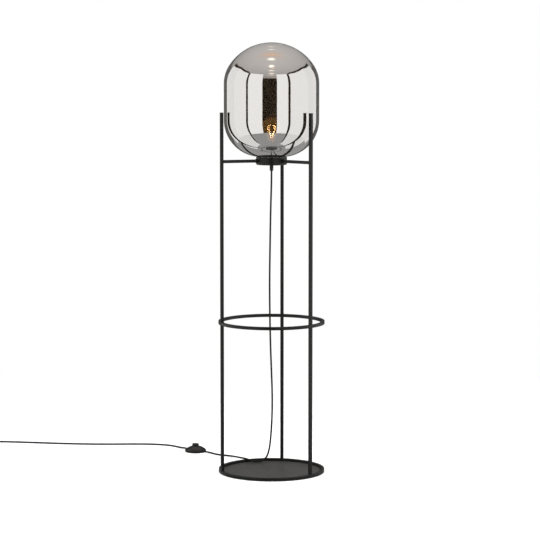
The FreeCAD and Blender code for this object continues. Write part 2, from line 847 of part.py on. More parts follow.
def make_switch():
    """A round foot switch on the lead, built about its own axis and then set down on the floor."""
    sole_height, wall, lead_height = 1.0, 2.0, 6.5
    side_top, dome, screw_offset = 7.5, 45.0, 20.0
    collar_radius = s.button_radius + 0.7
    disc("switch_sole", 33.0, 0, sole_height, hole=24.0)
    base = disc("switch_base", s.switch_radius - wall - 0.2, sole_height, 2.0)
    sketch = sketch_on(base, "XY_Plane", sole_height)
    for side in (-1, 1):
        circle(sketch, 0, side * screw_offset, 1.7)
    pocket(base, sketch, 2.0, towards_normal=True)

    inside = s.switch_radius - wall
    cover = turned(
        "switch_cover",
        (
            (s.switch_radius, sole_height + 0.5),
            (s.switch_radius, side_top),
            (collar_radius + 1.5, s.switch_height - 0.5, dome),
            (collar_radius + 1.5, s.switch_height),
            (collar_radius, s.switch_height),
            (collar_radius, s.switch_height - wall - 0.5),
            (inside, side_top - 0.8, as_length(-dome) + wall),
            (inside, sole_height + 0.5),
        ),
    )
    sketch = sketch_on(cover, "YZ_Plane", as_length(0) - s.switch_radius - 1)
    circle(sketch, 0, lead_height, s.cord_radius + 0.3)
    pocket(cover, sketch, s.switch_radius * 2 + 2, towards_normal=True)

    sketch = sketch_on(cover, "XY_Plane", sole_height + 2.0)
    for side in (-1, 1):
        circle(sketch, 0, side * screw_offset, 3.2)
        circle(sketch, 0, side * screw_offset, 1.45)
    pad(cover, sketch, 13.3)

    flange_top = s.switch_height - wall - 1.1
    skirt_bottom = flange_top - 1.8
    crown = 1.6
    turned(
        "switch_button",
        (
            (0, s.button_top),
            (0, s.button_top - 2.4),
            (s.button_radius - 2, s.button_top - 2.4),
            (s.button_radius - 2, skirt_bottom),
            (s.button_radius + 2, skirt_bottom),
            (s.button_radius + 2, flange_top),
            (s.button_radius, flange_top),
            (s.button_radius, s.button_top - crown),
            (s.button_radius - crown, s.button_top - 0.2, crown),
        ),
    )

    unit_top = skirt_bottom - s.button_travel - 0.4
    unit = new_body("switch_unit")
    sketch = sketch_on(unit, "XY_Plane", sole_height + 2.0)
    rectangle(sketch, 0, 0, 26, 22)
    pad(unit, sketch, unit_top - sole_height - 2.0)

    spring_height = s.button_top - 2.4 - unit_top
    disc("switch_spring", 5.5, unit_top, spring_height, hole=4.3)

    clamps = new_body("cord_clamps")
    sketch = sketch_on(clamps, "XY_Plane", sole_height + 2.0)
    for side in (-1, 1):
        rectangle(sketch, side * 20.5, 0, 7, 16)
    pad(clamps, sketch, 8.0)

    screws = new_body("switch_screws")
    sketch = sketch_on(screws, "XY_Plane", sole_height - 0.6)
    for side in (-1, 1):
        circle(sketch, 0, side * screw_offset, 1.4)
    pad(screws, sketch, 11.0)

    for label in (
        "switch_sole", "switch_base", "switch_cover", "switch_button", "switch_unit",
        "switch_spring", "cord_clamps", "switch_screws",
    ):
        nodes[label].Placement = SWITCH_PLACE


# ---- plug ----------------------------------------------------------------------------------------------


def make_plug():
    """A flat two-pin plug that lies on the floor, its pins along +X of its own frame."""
    width, height, face_length = 35.0, 13.6, 7.0
    neck_width, neck_height = 14.0, 10.5
    body = new_body("plug_body")
    sketch = sketch_on(body, "YZ_Plane", 0)
    section(sketch, width, height)
    pad(body, sketch, face_length)
    sections = []
    for offset, across, up in ((0.0, width, height), (-PLUG_GRIP, neck_width, neck_height)):
        sketch = sketch_on(body, "YZ_Plane", offset)
        section(sketch, across, up)
        sections.append(sketch)
    loft = body.newObject("PartDesign::AdditiveLoft", "plug_grip")
    loft.Profile = sections[0]
    loft.Sections = sections[1:]
    loft.Ruled = True
    doc.recompute()
    body.Placement = PLUG_PLACE

    relief = new_body("plug_relief")
    sketch = sketch_on(relief, "XY_Plane")
    start, end = -PLUG_GRIP - PLUG_RELIEF, -PLUG_GRIP
    outline(sketch, ((start, 0), (end, 0), (end, 5.0), (start, s.cord_radius + 0.8)))
    revolution(relief, sketch, axis="H_Axis")
    relief.Placement = PLUG_PLACE

    pins = new_body("plug_pins")
    sketch = sketch_on(pins, "YZ_Plane", face_length)
    for side in (-1, 1):
        circle(sketch, s.pin_spacing * side / 2, 0, s.pin_radius)
    pad(pins, sketch, s.pin_length)
    pins.Placement = PLUG_PLACE


def section(sketch, width, height):
    """A flat hexagon with upright ends, as seen from the plug's pins."""
    half, side = width / 2, height / 2
    slope = min(half - 3.0, 6.0)
    outline(
        sketch,
        (
            (half, -side / 3),
            (half, side / 3),
            (half - slope, side),
            (slope - half, side),
            (-half, side / 3),
            (-half, -side / 3),
            (slope - half, -side),
            (half - slope, -side),
        ),
    )


# ---- cords ---------------------------------------------------------------------------------------------


def rounded_path(points):
    """Straight runs through the points, joined by tangent arcs as large as the runs allow."""
    edges, start, tightest = [], points[0], None
    for before, corner, after in zip(points, points[1:], points[2:]):
        incoming, outgoing = corner - before, after - corner
        turn = incoming.getAngle(outgoing)
        trim = 0.45 * min(incoming.Length, outgoing.Length)
        radius = trim / math.tan(turn / 2)
        tightest = radius if tightest is None else min(tightest, radius)
        back = Vector(incoming).normalize()
        ahead = Vector(outgoing).normalize()
        first, last = corner - back * trim, corner + ahead * trim
        towards_centre = (ahead - back).normalize()
        centre = corner + towards_centre * (radius / math.cos(turn / 2))
        middle = centre - towards_centre * radius
        edges.append(Part.LineSegment(start, first).toShape())
        edges.append(Part.Arc(first, middle, last).toShape())
        start = last
    edges.append(Part.LineSegment(start, points[-1]).toShape())
    print(f"    tightest bend {tightest:.1f}")
    return edges


def tube(edges, radius):
    """A round solid along joined edges; its volume is compared with section times length."""
    first = edges[0]
    ring = Part.Circle(first.valueAt(first.FirstParameter), first.tangentAt(first.FirstParameter), radius)
    path = Part.Wire(edges)
    solid = path.makePipeShell([Part.Wire(ring.toShape())], True, False)
    expected = math.pi * radius**2 * path.Length
    if abs(solid.Volume - expected) > 0.01 * expected:
        raise ValueError(f"tube volume {solid.Volume:.0f} is not {expected:.0f}")
    print(f"    tube of radius {radius:.2f} and length {path.Length:.0f}")
    return solid


def biarc(start, direction, end, end_direction):
    """Two arcs that meet smoothly and leave and reach two points along two directions."""
    chord = end - start
    both = direction + end_direction
    a = 2 * (1 - direction.dot(end_direction))
    b = 2 * chord.dot(both)
    c = -chord.dot(chord)
    handle = -c / b if abs(a) < 1e-9 else (-b + math.sqrt(b * b - 4 * a * c)) / (2 * a)
    knee, knee_back = start + direction * handle, end - end_direction * handle
    joint = (knee + knee_back) * 0.5
    arcs = []
    for one, corner, other in ((start, knee, joint), (joint, knee_back, end)):
        to_corner = (corner - one).getAngle(other - one)
        sagitta = (other - one).Length / 2 * math.tan(to_corner / 2)
        middle = (one + other) * 0.5
        arcs.append(Part.Arc(one, middle + (corner - middle).normalize() * sagitta, other).toShape())
    return arcs


def coil_point(turns):
    """Centre line of the coil: in by a pitch a turn, up a layer over half a turn, and out again."""
    inward, climb = 2.0, 0.5
    pitch = s.coil_pitch.value
    radius = s.coil_radius.value - pitch * (inward - abs(turns - inward))
    share = min(max((turns - inward) / climb + 0.5, 0), 1)
    height = s.cord_radius.value + 0.2 + pitch * share * share * (3 - 2 * share)
    angle = math.radians(COIL_START_ANGLE + 360 * turns)
    return COIL_CENTRE + Vector(radius * math.cos(angle), radius * math.sin(angle), height)


def coil_direction(turns):
    step = 1e-4
    return (coil_point(turns + step) - coil_point(turns - step)).normalize()


def coil_edges(start, heading):
    """The coil from the point where the floor run ends, and its tail over the turns to the plug."""
    turns, step, level_tail = 3.25, 0.25, 26.0
    straight = 2 * s.cord_radius.value
    place = start + heading * straight
    edges = [Part.LineSegment(start, place).toShape()]
    for number in range(1, round(turns / step) + 1):
        at = number * step
        edges += biarc(place, heading, coil_point(at), coil_direction(at))
        place, heading = coil_point(at), coil_direction(at)
    edges.append(Part.LineSegment(place, place + heading * level_tail).toShape())
    plug_end = PLUG_PLACE.multVec(Vector(-PLUG_GRIP - PLUG_RELIEF, 0, 0))
    plug_heading = PLUG_PLACE.Rotation.multVec(Vector(1, 0, 0))
    last_straight = plug_end - plug_heading * straight
    edges += biarc(place + heading * level_tail, heading, last_straight, plug_heading)
    edges.append(Part.LineSegment(last_straight, plug_end).toShape())
    return edges


def make_cords():
    cord_radius = s.cord_radius.value
    routes = {"cord_hub_to_switch": CORD_TO_SWITCH, "cord_switch_to_coil": CORD_TO_COIL}
    for label, route in routes.items():
        print(label)
        points = [Vector(*point) for point in route]
        shape_piece(label, tube(rounded_path(points), cord_radius))
    print("cord_coil")
    edges = coil_edges(points[-1], (points[-1] - points[-2]).normalize())
    shape_piece("cord_coil", tube(edges, cord_radius))
    print(f"    least gap of the coil to itself {least_gap(edges):.2f}")


def least_gap(edges):
    """The least distance between the surfaces of two stretches of the coil, measured on points."""
    spacing, clear = 1.0, 4 * math.pi * s.cord_radius.value
    points = Part.Wire(edges).discretize(Distance=spacing)
    gaps = [
        (one - other).Length
        for index, one in enumerate(points)
        for other in points[index + int(clear / spacing):]
    ]
    return min(gaps) - 2 * s.cord_radius.value


# ---- whole lamp ----------------------------------------------------------------------------------------


def check_and_write():
    """Stop on any failed object, then write each piece to its own file."""
    doc.recompute()
    for item in doc.Objects:
        if "Invalid" in item.State or "Error" in item.State:
            raise ValueError(f"{item.Label}: {item.State}")
    os.makedirs("parts", exist_ok=True)
    for label, piece in nodes.items():
        if piece.Shape.isNull() or not piece.Shape.isValid():
            raise ValueError(f"{label}: shape is null or not valid")
        piece.Shape.exportStep(f"parts/{label}.step")
        print(f"{label}: {len(piece.Shape.Solids)} solids, {piece.Shape.Volume:.0f} mm3")


doc = FreeCAD.newDocument("globe_floor_lamp")
nodes = {}
s = make_sheet()
make_base()
make_posts()
make_crossbars()
make_hub()
make_globe()
make_lamp_holder()
make_bulb()
make_switch()
make_plug()
make_cords()
check_and_write()
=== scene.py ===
import logging
import math
from dataclasses import dataclass
from enum import Enum

import bmesh
import bpy
from mathutils import Matrix, Vector


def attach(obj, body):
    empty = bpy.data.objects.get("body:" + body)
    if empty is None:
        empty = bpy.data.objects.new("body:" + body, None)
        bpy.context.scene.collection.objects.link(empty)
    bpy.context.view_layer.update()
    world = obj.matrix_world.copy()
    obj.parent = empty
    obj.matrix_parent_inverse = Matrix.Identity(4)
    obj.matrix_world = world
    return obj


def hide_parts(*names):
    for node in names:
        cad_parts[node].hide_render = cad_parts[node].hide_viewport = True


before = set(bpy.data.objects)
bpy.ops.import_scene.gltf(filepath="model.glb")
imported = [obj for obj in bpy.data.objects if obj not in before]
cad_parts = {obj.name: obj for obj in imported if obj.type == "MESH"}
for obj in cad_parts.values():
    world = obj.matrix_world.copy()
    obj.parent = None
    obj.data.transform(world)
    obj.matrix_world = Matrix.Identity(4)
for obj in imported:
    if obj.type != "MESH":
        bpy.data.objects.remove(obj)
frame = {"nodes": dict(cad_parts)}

# Globe floor lamp: its lead, glass, bulb, fittings and finishes, and the studio around it.
# The classes give sizes in millimetres. The meshes are in metres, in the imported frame.

MM = 0.001
JOIN_DISTANCE = 0.01 * MM
EASED_EDGE = 0.6 * MM
EASED_ANGLE = math.radians(40.0)
SHARP_ANGLE = math.radians(34.0)
WHITE = (1.0, 1.0, 1.0, 1.0)
Line = list[tuple[float, float]]
Points = tuple[tuple[float, float], ...]
Inputs = dict[str | int, object]
log = logging.getLogger("globe_floor_lamp")
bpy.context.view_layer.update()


class Body(Enum):
    """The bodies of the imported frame."""

    FRAME = "lamp_frame"
    GLOBE = "globe"
    BUTTON = "foot_button"


class Tone(Enum):
    """Colours of the lamp's finishes and of the studio, as linear red, green and blue."""

    COAT = (0.0034, 0.0031, 0.0028)
    COAT_WORN = (0.020, 0.019, 0.018)
    # Painted sheen: the tray's two tones are far lighter than the black coat and stand in for its reflection
    # of the white surround.
    TRAY = (0.046, 0.045, 0.043)
    TRAY_PAINTED_SHEEN_MOTTLE = (0.036, 0.035, 0.034)
    PLASTIC = (0.0045, 0.0044, 0.0042)
    PLASTIC_WORN = (0.035, 0.034, 0.033)
    RUBBER = (0.0040, 0.0040, 0.0040)
    FELT = (0.020, 0.019, 0.018)
    FELT_LIGHT = (0.060, 0.058, 0.055)
    ZINC = (0.62, 0.62, 0.60)
    ZINC_DULL = (0.38, 0.38, 0.37)
    BRASS = (0.72, 0.52, 0.24)
    BRASS_DULL = (0.42, 0.28, 0.12)
    NICKEL = (0.68, 0.66, 0.62)
    NICKEL_DULL = (0.45, 0.43, 0.40)
    BULB_METAL = (0.70, 0.69, 0.66)
    BULB_METAL_DULL = (0.46, 0.45, 0.43)
    CERAMIC = (0.78, 0.76, 0.71)
    CERAMIC_SHADE = (0.64, 0.61, 0.55)
    WHITE_PLASTIC = (0.74, 0.73, 0.70)
    WHITE_PLASTIC_SHADE = (0.60, 0.58, 0.54)
    SILICONE = (0.55, 0.55, 0.54)
    SILICONE_SHADE = (0.42, 0.42, 0.41)
    BULB_INSULATION = (0.012, 0.010, 0.016)
    CORE = (0.16, 0.075, 0.035)
    CORE_SHADE = (0.10, 0.045, 0.022)
    DUST = (0.30, 0.29, 0.27)
    GLOW = (1.0, 0.60, 0.24)
    ROD_FOOT = (1.0, 0.62, 0.28)
    ROD_MIDDLE = (1.0, 0.80, 0.52)
    ROD_TIP = (1.0, 0.66, 0.32)
    # Colour of the painted halo: a warm glow given to the bulb's clear glass in place of light around the lit
    # filaments.
    PAINTED_HALO = (1.0, 0.58, 0.16)
    BOARD = (1.0, 0.995, 0.985)
    # Tones of the reflection-only sheets that paint the dome's warm highlights and glow.
    WARM_HIGHLIGHT = (1.0, 0.90, 0.76)
    WIDE_HIGHLIGHT_GLOW = (1.0, 0.72, 0.55)
    CEILING = (0.74, 0.71, 0.69)
    CEILING_EDGE = (0.42, 0.41, 0.40)
    FLOOR = (0.80, 0.80, 0.80)
    FLOOR_LIGHT = (0.84, 0.84, 0.84)

    @property
    def rgba(self) -> tuple[float, float, float, float]:
        """The colour with full alpha."""
        return (*self.value, 1.0)


# ---- node trees ----


class NodeTree:
    """Adds nodes to a shader tree and links them."""

    def __init__(self, tree: bpy.types.NodeTree) -> None:
        """Keep the tree."""
        self.tree = tree

    def feed(self, node: bpy.types.Node, inputs: Inputs) -> None:
        """Give a node's inputs their values.

        Args:
            node: the node.
            inputs: a plain value or a socket for each input, by the input's name or number.
        """
        for name, value in inputs.items():
            if isinstance(value, bpy.types.NodeSocket):
                self.tree.links.new(value, node.inputs[name])
            else:
                node.inputs[name].default_value = value

    def add(self, kind: str, inputs: Inputs | None = None, **settings: object) -> bpy.types.Node:
        """Add a node.

        Args:
            kind: the node's type without its ShaderNode prefix.
            inputs: what its inputs get.
            settings: properties to set on it.

        Returns:
            The new node.
        """
        node = self.tree.nodes.new(f"ShaderNode{kind}")
        for name, value in settings.items():
            setattr(node, name, value)
        self.feed(node, inputs or {})
        return node

    def place(self) -> bpy.types.NodeSocket:
        """Give the object's own coordinates."""
        return self.add("TexCoord").outputs["Object"]

    def distance(self) -> bpy.types.NodeSocket:
        """Give the distance from the object's own origin."""
        return self.add("VectorMath", {0: self.place()}, operation="LENGTH").outputs["Value"]

    def noise(self, scale: object, detail: float) -> bpy.types.NodeSocket:
        """Give noise, with its waves per metre as a number or a socket, and its octaves."""
        waves = self.add("TexNoise", {"Vector": self.place(), "Scale": scale, "Detail": detail})
        return waves.outputs["Fac"]

    def spread(self, value: bpy.types.NodeSocket, low: float, high: float,
               to_low: float = 0.0, to_high: float = 1.0) -> bpy.types.NodeSocket:
        """Map a value from one range to another, clamped.

        Args:
            value: the socket to map.
            low, high: the range it comes from.
            to_low, to_high: the range it goes to.

        Returns:
            The socket with the mapped value.
        """
        node = self.add("MapRange", {"Value": value, "From Min": low, "From Max": high,
                                     "To Min": to_low, "To Max": to_high})
        return node.outputs["Result"]

    def times(self, one: bpy.types.NodeSocket, other: bpy.types.NodeSocket) -> bpy.types.NodeSocket:
        """Multiply two values."""
        return self.add("Math", {0: one, 1: other}, operation="MULTIPLY").outputs[0]

    def mix(self, mask: bpy.types.NodeSocket, low: object, high: object) -> bpy.types.NodeSocket:
        """Mix two colours, each four numbers or a socket, with as much of the second as the mask says."""
        return self.add("Mix", {"Factor": mask, 6: low, 7: high}, data_type="RGBA").outputs[2]

    def bump(self, height: bpy.types.NodeSocket, depth: float) -> bpy.types.NodeSocket:
        """Give the normal of a height from 0 to 1 that stands for a depth in millimetres."""
        return self.add("Bump", {"Height": height, "Distance": depth * MM}).outputs["Normal"]

    def emission(self, strength: float, colour: object = WHITE) -> bpy.types.Node:
        """Add an emission shader."""
        return self.add("Emission", {"Strength": strength, "Color": colour})

    def blend(self, mask: bpy.types.NodeSocket, low: bpy.types.Node, high: bpy.types.Node) -> bpy.types.Node:
        """Mix two shaders, with as much of the second as the mask says."""
        return self.add("MixShader", {0: mask, 1: low.outputs[0], 2: high.outputs[0]})

    def show(self, shader: bpy.types.Node) -> None:
        """Give the material's surface a shader."""
        self.feed(self.tree.nodes["Material Output"], {"Surface": shader.outputs[0]})


class SurfaceEffect(Enum):
    """Effects that several finishes share, each one node group."""

    GRAIN = "fine_grain"
    WEAR = "worn_edges"
    DUST = "settled_dust"

    def group(self) -> bpy.types.NodeTree:
        """Give the effect's node group, and build it the first time.

        Returns:
            The node group.
        """
        made = bpy.data.node_groups.get(self.value)
        if made:
            return made
        builders = {SurfaceEffect.GRAIN: build_fine_grain, SurfaceEffect.WEAR: build_worn_edges,
                    SurfaceEffect.DUST: build_settled_dust}
        return builders[self]()

    def place(self, nodes: NodeTree, inputs: Inputs) -> bpy.types.Node:
        """Put the effect in a material, with what its group's inputs get."""
        return nodes.add("Group", inputs, node_tree=self.group())


def new_group(effect: SurfaceEffect, inputs: dict[str, float],
              outputs: tuple[str, ...]) -> tuple[NodeTree, bpy.types.Node, bpy.types.Node]:
    """Start a node group.

    Args:
        effect: the effect that it is for.
        inputs: its input values by name.
        outputs: its output values by name.

    Returns:
        The group's tree, its input node and its output node.
    """
    tree = bpy.data.node_groups.new(effect.value, "ShaderNodeTree")
    for name, value in inputs.items():
        tree.interface.new_socket(name, in_out="INPUT", socket_type="NodeSocketFloat").default_value = value
    for name in outputs:
        tree.interface.new_socket(name, in_out="OUTPUT", socket_type="NodeSocketFloat")
    nodes = NodeTree(tree)
    return nodes, tree.nodes.new("NodeGroupInput"), tree.nodes.new("NodeGroupOutput")


def build_fine_grain() -> bpy.types.NodeTree:
    """Build the grain of a sprayed or moulded surface: a fine height and a slow change of shade.

    Returns:
        The node group.
    """
    nodes, given, results = new_group(SurfaceEffect.GRAIN, {"Scale": 900.0, "Mottle Scale": 40.0},
                                      ("Height", "Mottle"))
    fine = nodes.noise(given.outputs["Scale"], 3.0)
    slow = nodes.noise(given.outputs["Mottle Scale"], 4.0)
    nodes.feed(results, {"Height": nodes.spread(fine, 0.3, 0.7), "Mottle": nodes.spread(slow, 0.35, 0.65)})
    return nodes.tree


def build_worn_edges() -> bpy.types.NodeTree:
    """Build the mask of edges that handling has polished.

    Returns:
        The node group.
    """
    nodes, given, results = new_group(SurfaceEffect.WEAR, {"Reach": 0.0012, "Patch Scale": 120.0}, ("Wear",))
    rounded = nodes.add("Bevel", {"Radius": given.outputs["Reach"]}, samples=4).outputs["Normal"]
    plain = nodes.add("NewGeometry").outputs["Normal"]
    likeness = nodes.add("VectorMath", {0: rounded, 1: plain}, operation="DOT_PRODUCT")
    edge = nodes.spread(likeness.outputs["Value"], 0.97, 0.78)
    broken = nodes.spread(nodes.noise(given.outputs["Patch Scale"], 4.0), 0.42, 0.62)
    nodes.feed(results, {"Wear": nodes.times(edge, broken)})
    return nodes.tree


def build_settled_dust() -> bpy.types.NodeTree:
    """Build the mask of fine dust on faces that look up.

    Returns:
        The node group.
    """
    nodes, given, results = new_group(SurfaceEffect.DUST, {"Amount": 0.2, "Cloud Scale": 14.0}, ("Dust",))
    split = nodes.add("SeparateXYZ", {0: nodes.add("NewGeometry").outputs["Normal"]})
    upward = nodes.spread(split.outputs["Z"], 0.75, 0.98)
    clouds = nodes.spread(nodes.noise(given.outputs["Cloud Scale"], 6.0), 0.25, 0.75, 0.35, 1.0)
    nodes.feed(results, {"Dust": nodes.times(nodes.times(upward, clouds), given.outputs["Amount"])})
    return nodes.tree


# ---- finishes ----


def new_material(name: str) -> tuple[bpy.types.Material, NodeTree, bpy.types.Node]:
    """Start a material.

    Args:
        name: the material's name.

    Returns:
        The material, its tree and its Principled shader.
    """
    material = bpy.data.materials.new(name)
    material.use_nodes = True
    nodes = NodeTree(material.node_tree)
    return material, nodes, material.node_tree.nodes["Principled BSDF"]


@dataclass(frozen=True)
class SolidFinish:
    """An opaque finish: powder coat, moulded plastic, rubber, felt, ceramic or plain metal."""

    name: str
    tone: Tone
    second_tone: Tone
    roughness: tuple[float, float] = (0.45, 0.6)
    metallic: float = 0.0
    specular: float = 0.5
    grain_scale: float = 900.0
    grain_depth: float = 0.01
    mottle_scale: float = 40.0
    wear: float = 0.0
    wear_tone: Tone = Tone.COAT_WORN
    dust: float = 0.0

    def material(self) -> bpy.types.Material:
        """Build the finish.

        Returns:
            The material.
        """
        material, nodes, shader = new_material(self.name)
        scales = {"Scale": self.grain_scale, "Mottle Scale": self.mottle_scale}
        grain = SurfaceEffect.GRAIN.place(nodes, scales).outputs
        colour = nodes.mix(grain["Mottle"], self.tone.rgba, self.second_tone.rgba)
        if self.wear:
            worn = SurfaceEffect.WEAR.place(nodes, {"Reach": self.wear * MM})
            colour = nodes.mix(worn.outputs["Wear"], colour, self.wear_tone.rgba)
        if self.dust:
            dusty = SurfaceEffect.DUST.place(nodes, {"Amount": self.dust})
            colour = nodes.mix(dusty.outputs["Dust"], colour, Tone.DUST.rgba)
        nodes.feed(shader, {"Base Color": colour, "Metallic": self.metallic,
                            "Roughness": nodes.spread(grain["Mottle"], 0.0, 1.0, *self.roughness),
                            "Specular IOR Level": self.specular,
                            "Normal": nodes.bump(grain["Height"], self.grain_depth)})
        return material


@dataclass(frozen=True)
class GlassFinish:
    """Glass, clear or with a mirror coat that lets part of the light through, with a faint warm emission
    where it carries a painted halo.
    """

    name: str
    colour: tuple[float, float, float] = (1.0, 1.0, 1.0)
    mirror: float = 0.0
    roughness: tuple[float, float] = (0.0, 0.003)
    index: float = 1.46
    ripple: float = 0.0
    haze: float = 0.0
    ripple_scale: float = 14.0
    mottle_scale: float = 9.0

    def material(self) -> bpy.types.Material:
        """Build the finish.

        Returns:
            The material.
        """
        material, nodes, shader = new_material(self.name)
        scales = {"Scale": self.ripple_scale, "Mottle Scale": self.mottle_scale}
        grain = SurfaceEffect.GRAIN.place(nodes, scales).outputs
        nodes.feed(shader, {"Base Color": (*self.colour, 1.0), "Metallic": self.mirror,
                            "Transmission Weight": 1.0, "IOR": self.index,
                            "Roughness": nodes.spread(grain["Mottle"], 0.0, 1.0, *self.roughness)})
        if self.ripple:
            nodes.feed(shader, {"Normal": nodes.bump(grain["Height"], self.ripple)})
        # Painted halo: a faint warm emission on the glass stands in for the glow of light around the lit
        # bulb.
        if self.haze:
            nodes.feed(shader, {"Emission Color": Tone.PAINTED_HALO.rgba, "Emission Strength": self.haze})
        return material


@dataclass(frozen=True)
class GlowingFinish:
    """The coating of a lit filament rod: brightest at its middle."""

    name: str
    tone: Tone
    strength: float
    low: float
    high: float

    def material(self) -> bpy.types.Material:
        """Build the finish.

        Returns:
            The material.
        """
        material, nodes, shader = new_material(self.name)
        height = nodes.add("SeparateXYZ", {0: nodes.place()}).outputs["Z"]
        ramp = nodes.add("ValToRGB", {"Fac": nodes.spread(height, self.low * MM, self.high * MM)})
        stops = ramp.color_ramp.elements
        stops[0].color, stops[1].color = Tone.ROD_FOOT.rgba, Tone.ROD_TIP.rgba
        stops.new(0.5).color = Tone.ROD_MIDDLE.rgba
        nodes.feed(shader, {"Base Color": self.tone.rgba, "Roughness": 0.6,
                            "Emission Color": ramp.outputs["Color"], "Emission Strength": self.strength})
        return material


SLOT_FINISHES = {finish.name: finish for finish in (
    SolidFinish("black_coat", Tone.COAT, Tone.PLASTIC, (0.34, 0.42), specular=0.26,
                grain_scale=1100.0, grain_depth=0.008, wear=0.25, dust=0.05),
    SolidFinish("felt", Tone.FELT, Tone.FELT_LIGHT, (0.9, 1.0), specular=0.1, grain_scale=2600.0,
                grain_depth=0.25, mottle_scale=900.0),
    SolidFinish("zinc_steel", Tone.ZINC, Tone.ZINC_DULL, (0.28, 0.45), metallic=1.0,
                grain_scale=1800.0, mottle_scale=160.0),
    SolidFinish("black_plastic", Tone.PLASTIC, Tone.COAT, (0.24, 0.34), specular=0.4,
                grain_scale=2400.0, grain_depth=0.02, wear=0.5, wear_tone=Tone.PLASTIC_WORN, dust=0.06),
    SolidFinish("white_plastic", Tone.WHITE_PLASTIC, Tone.WHITE_PLASTIC_SHADE, (0.35, 0.5),
                grain_scale=1600.0),
    SolidFinish("core_insulation", Tone.CORE, Tone.CORE_SHADE, (0.4, 0.55), grain_scale=1500.0),
    SolidFinish("silicone", Tone.SILICONE, Tone.SILICONE_SHADE, (0.5, 0.65)),
    SolidFinish("glazed_ceramic", Tone.CERAMIC, Tone.CERAMIC_SHADE, (0.12, 0.22),
                grain_scale=300.0, grain_depth=0.02),
    SolidFinish("brass", Tone.BRASS, Tone.BRASS_DULL, (0.25, 0.4), metallic=1.0),
    SolidFinish("bulb_metal", Tone.BULB_METAL, Tone.BULB_METAL_DULL, (0.22, 0.36), metallic=1.0),
    SolidFinish("bulb_insulation", Tone.BULB_INSULATION, Tone.PLASTIC, (0.15, 0.25)),
    SolidFinish("black_rubber", Tone.RUBBER, Tone.COAT, (0.42, 0.55), specular=0.25,
                grain_scale=1900.0, grain_depth=0.03),
    SolidFinish("nickel", Tone.NICKEL, Tone.NICKEL_DULL, (0.18, 0.3), metallic=1.0, grain_depth=0.006),
    GlassFinish("smoked_mirror_glass", (0.82, 0.81, 0.80), mirror=0.72, ripple=0.003),
    # The clear glass carries a painted halo of warm emission.
    GlassFinish("clear_glass", index=1.5, haze=0.22),
    GlowingFinish("filament_coating", Tone.GLOW, 60.0, 1108.0, 1147.0),
)}
SMOKED_INSIDE = GlassFinish("smoked_mirror_inside", (0.36, 0.25, 0.14), mirror=0.55)
# Painted sheen: this coat is lighter than the black coat, standing in for the tray floor's reflection of the
# white surround.
TRAY_COAT_PAINTED_SHEEN = SolidFinish("black_coat_tray_painted_sheen", Tone.TRAY, Tone.TRAY_PAINTED_SHEEN_MOTTLE, (0.34, 0.42), grain_scale=1100.0,
                        grain_depth=0.02, mottle_scale=9.0, dust=0.08)


class FinishShelf:
    """Builds each finish once and hands it out by its slot."""

    def __init__(self) -> None:
        """Start with nothing built."""
        self.built: dict[str, bpy.types.Material] = {}

    def get(self, slot: str) -> bpy.types.Material:
        """Give the material of a slot.

        Args:
            slot: the record's material slot.

        Returns:
            The material.
        """
        if slot not in self.built:
            self.built[slot] = SLOT_FINISHES[slot].material()
        return self.built[slot]

    def dress(self, piece: bpy.types.Object, slot: str, body: Body, *stands_for: str) -> None:
        """Give a piece its finish, its body and the nodes that it stands for.

        Args:
            piece: the piece, in place.
            slot: the record's material slot.
            body: the body that it rides on.
            stands_for: the nodes that it replaces.
        """
        if not piece.data.materials:
            piece.data.materials.append(self.get(slot))
        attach(piece, body.value)
        if stands_for:
            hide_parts(*stands_for)
        log.info("%s rides on %s in %s", piece.name, body.value, slot)


# ---- meshes ----


def metres(x: float, y: float, z: float) -> Vector:
    """A point given in millimetres."""
    return Vector((x * MM, y * MM, z * MM))


def polar(radius: float, angle: float, height: float, centre: tuple[float, float] = (0.0, 0.0)) -> Vector:
    """A point at a radius in millimetres and an angle in degrees about an upright axis."""
    turn = math.radians(angle)
    return metres(centre[0] + radius * math.cos(turn), centre[1] + radius * math.sin(turn), height)


def keep(name: str, form: bmesh.types.BMesh) -> bpy.types.Object:
    """Turn a form under construction into a smooth-shaded piece.

    Args:
        name: the piece's name.
        form: the form, in metres; it is used up.

    Returns:
        The piece.
    """
    bmesh.ops.recalc_face_normals(form, faces=form.faces)
    mesh = bpy.data.meshes.new(name)
    form.to_mesh(mesh)
    form.free()
    mesh.shade_smooth()
    mesh.set_sharp_from_angle(angle=SHARP_ANGLE)
    piece = bpy.data.objects.new(name, mesh)
    bpy.context.scene.collection.objects.link(piece)
    return piece


def arc(centre: tuple[float, float], radius: float, start: float, end: float, steps: int) -> Line:
    """Points of an arc.

    Args:
        centre: its centre.
        radius: its radius.
        start, end: its angles in degrees.
        steps: spans between points.

    Returns:
        The points, both ends among them.
    """
    angles = [math.radians(start + (end - start) * n / steps) for n in range(steps + 1)]
    return [(centre[0] + radius * math.cos(a), centre[1] + radius * math.sin(a)) for a in angles]


def eased(corners: tuple[tuple[float, ...], ...], steps: int = 5) -> Line:
    """Round the corners of a closed outline.

    Args:
        corners: (radius, height) points, with a rounding as third number where the corner has one.
        steps: spans in each rounding.

    Returns:
        The outline's points.
    """
    points: Line = []
    for number, corner in enumerate(corners):
        here = Vector(corner[:2])
        rounding = corner[2] if len(corner) > 2 else 0.0
        if not rounding:
            points.append((here.x, here.y))
            continue
        to_last = (Vector(corners[number - 1][:2]) - here).normalized()
        to_next = (Vector(corners[(number + 1) % len(corners)][:2]) - here).normalized()
        half = to_last.angle(to_next) / 2
        trim = rounding / math.tan(half)
        centre = here + (to_last + to_next).normalized() * (rounding / math.sin(half))
        first, last = here + to_last * trim - centre, here + to_next * trim - centre
        turn = first.angle_signed(last)
        for step in range(steps + 1):
            spoke = Matrix.Rotation(-turn * step / steps, 2) @ first
            points.append((centre.x + spoke.x, centre.y + spoke.y))
    return points


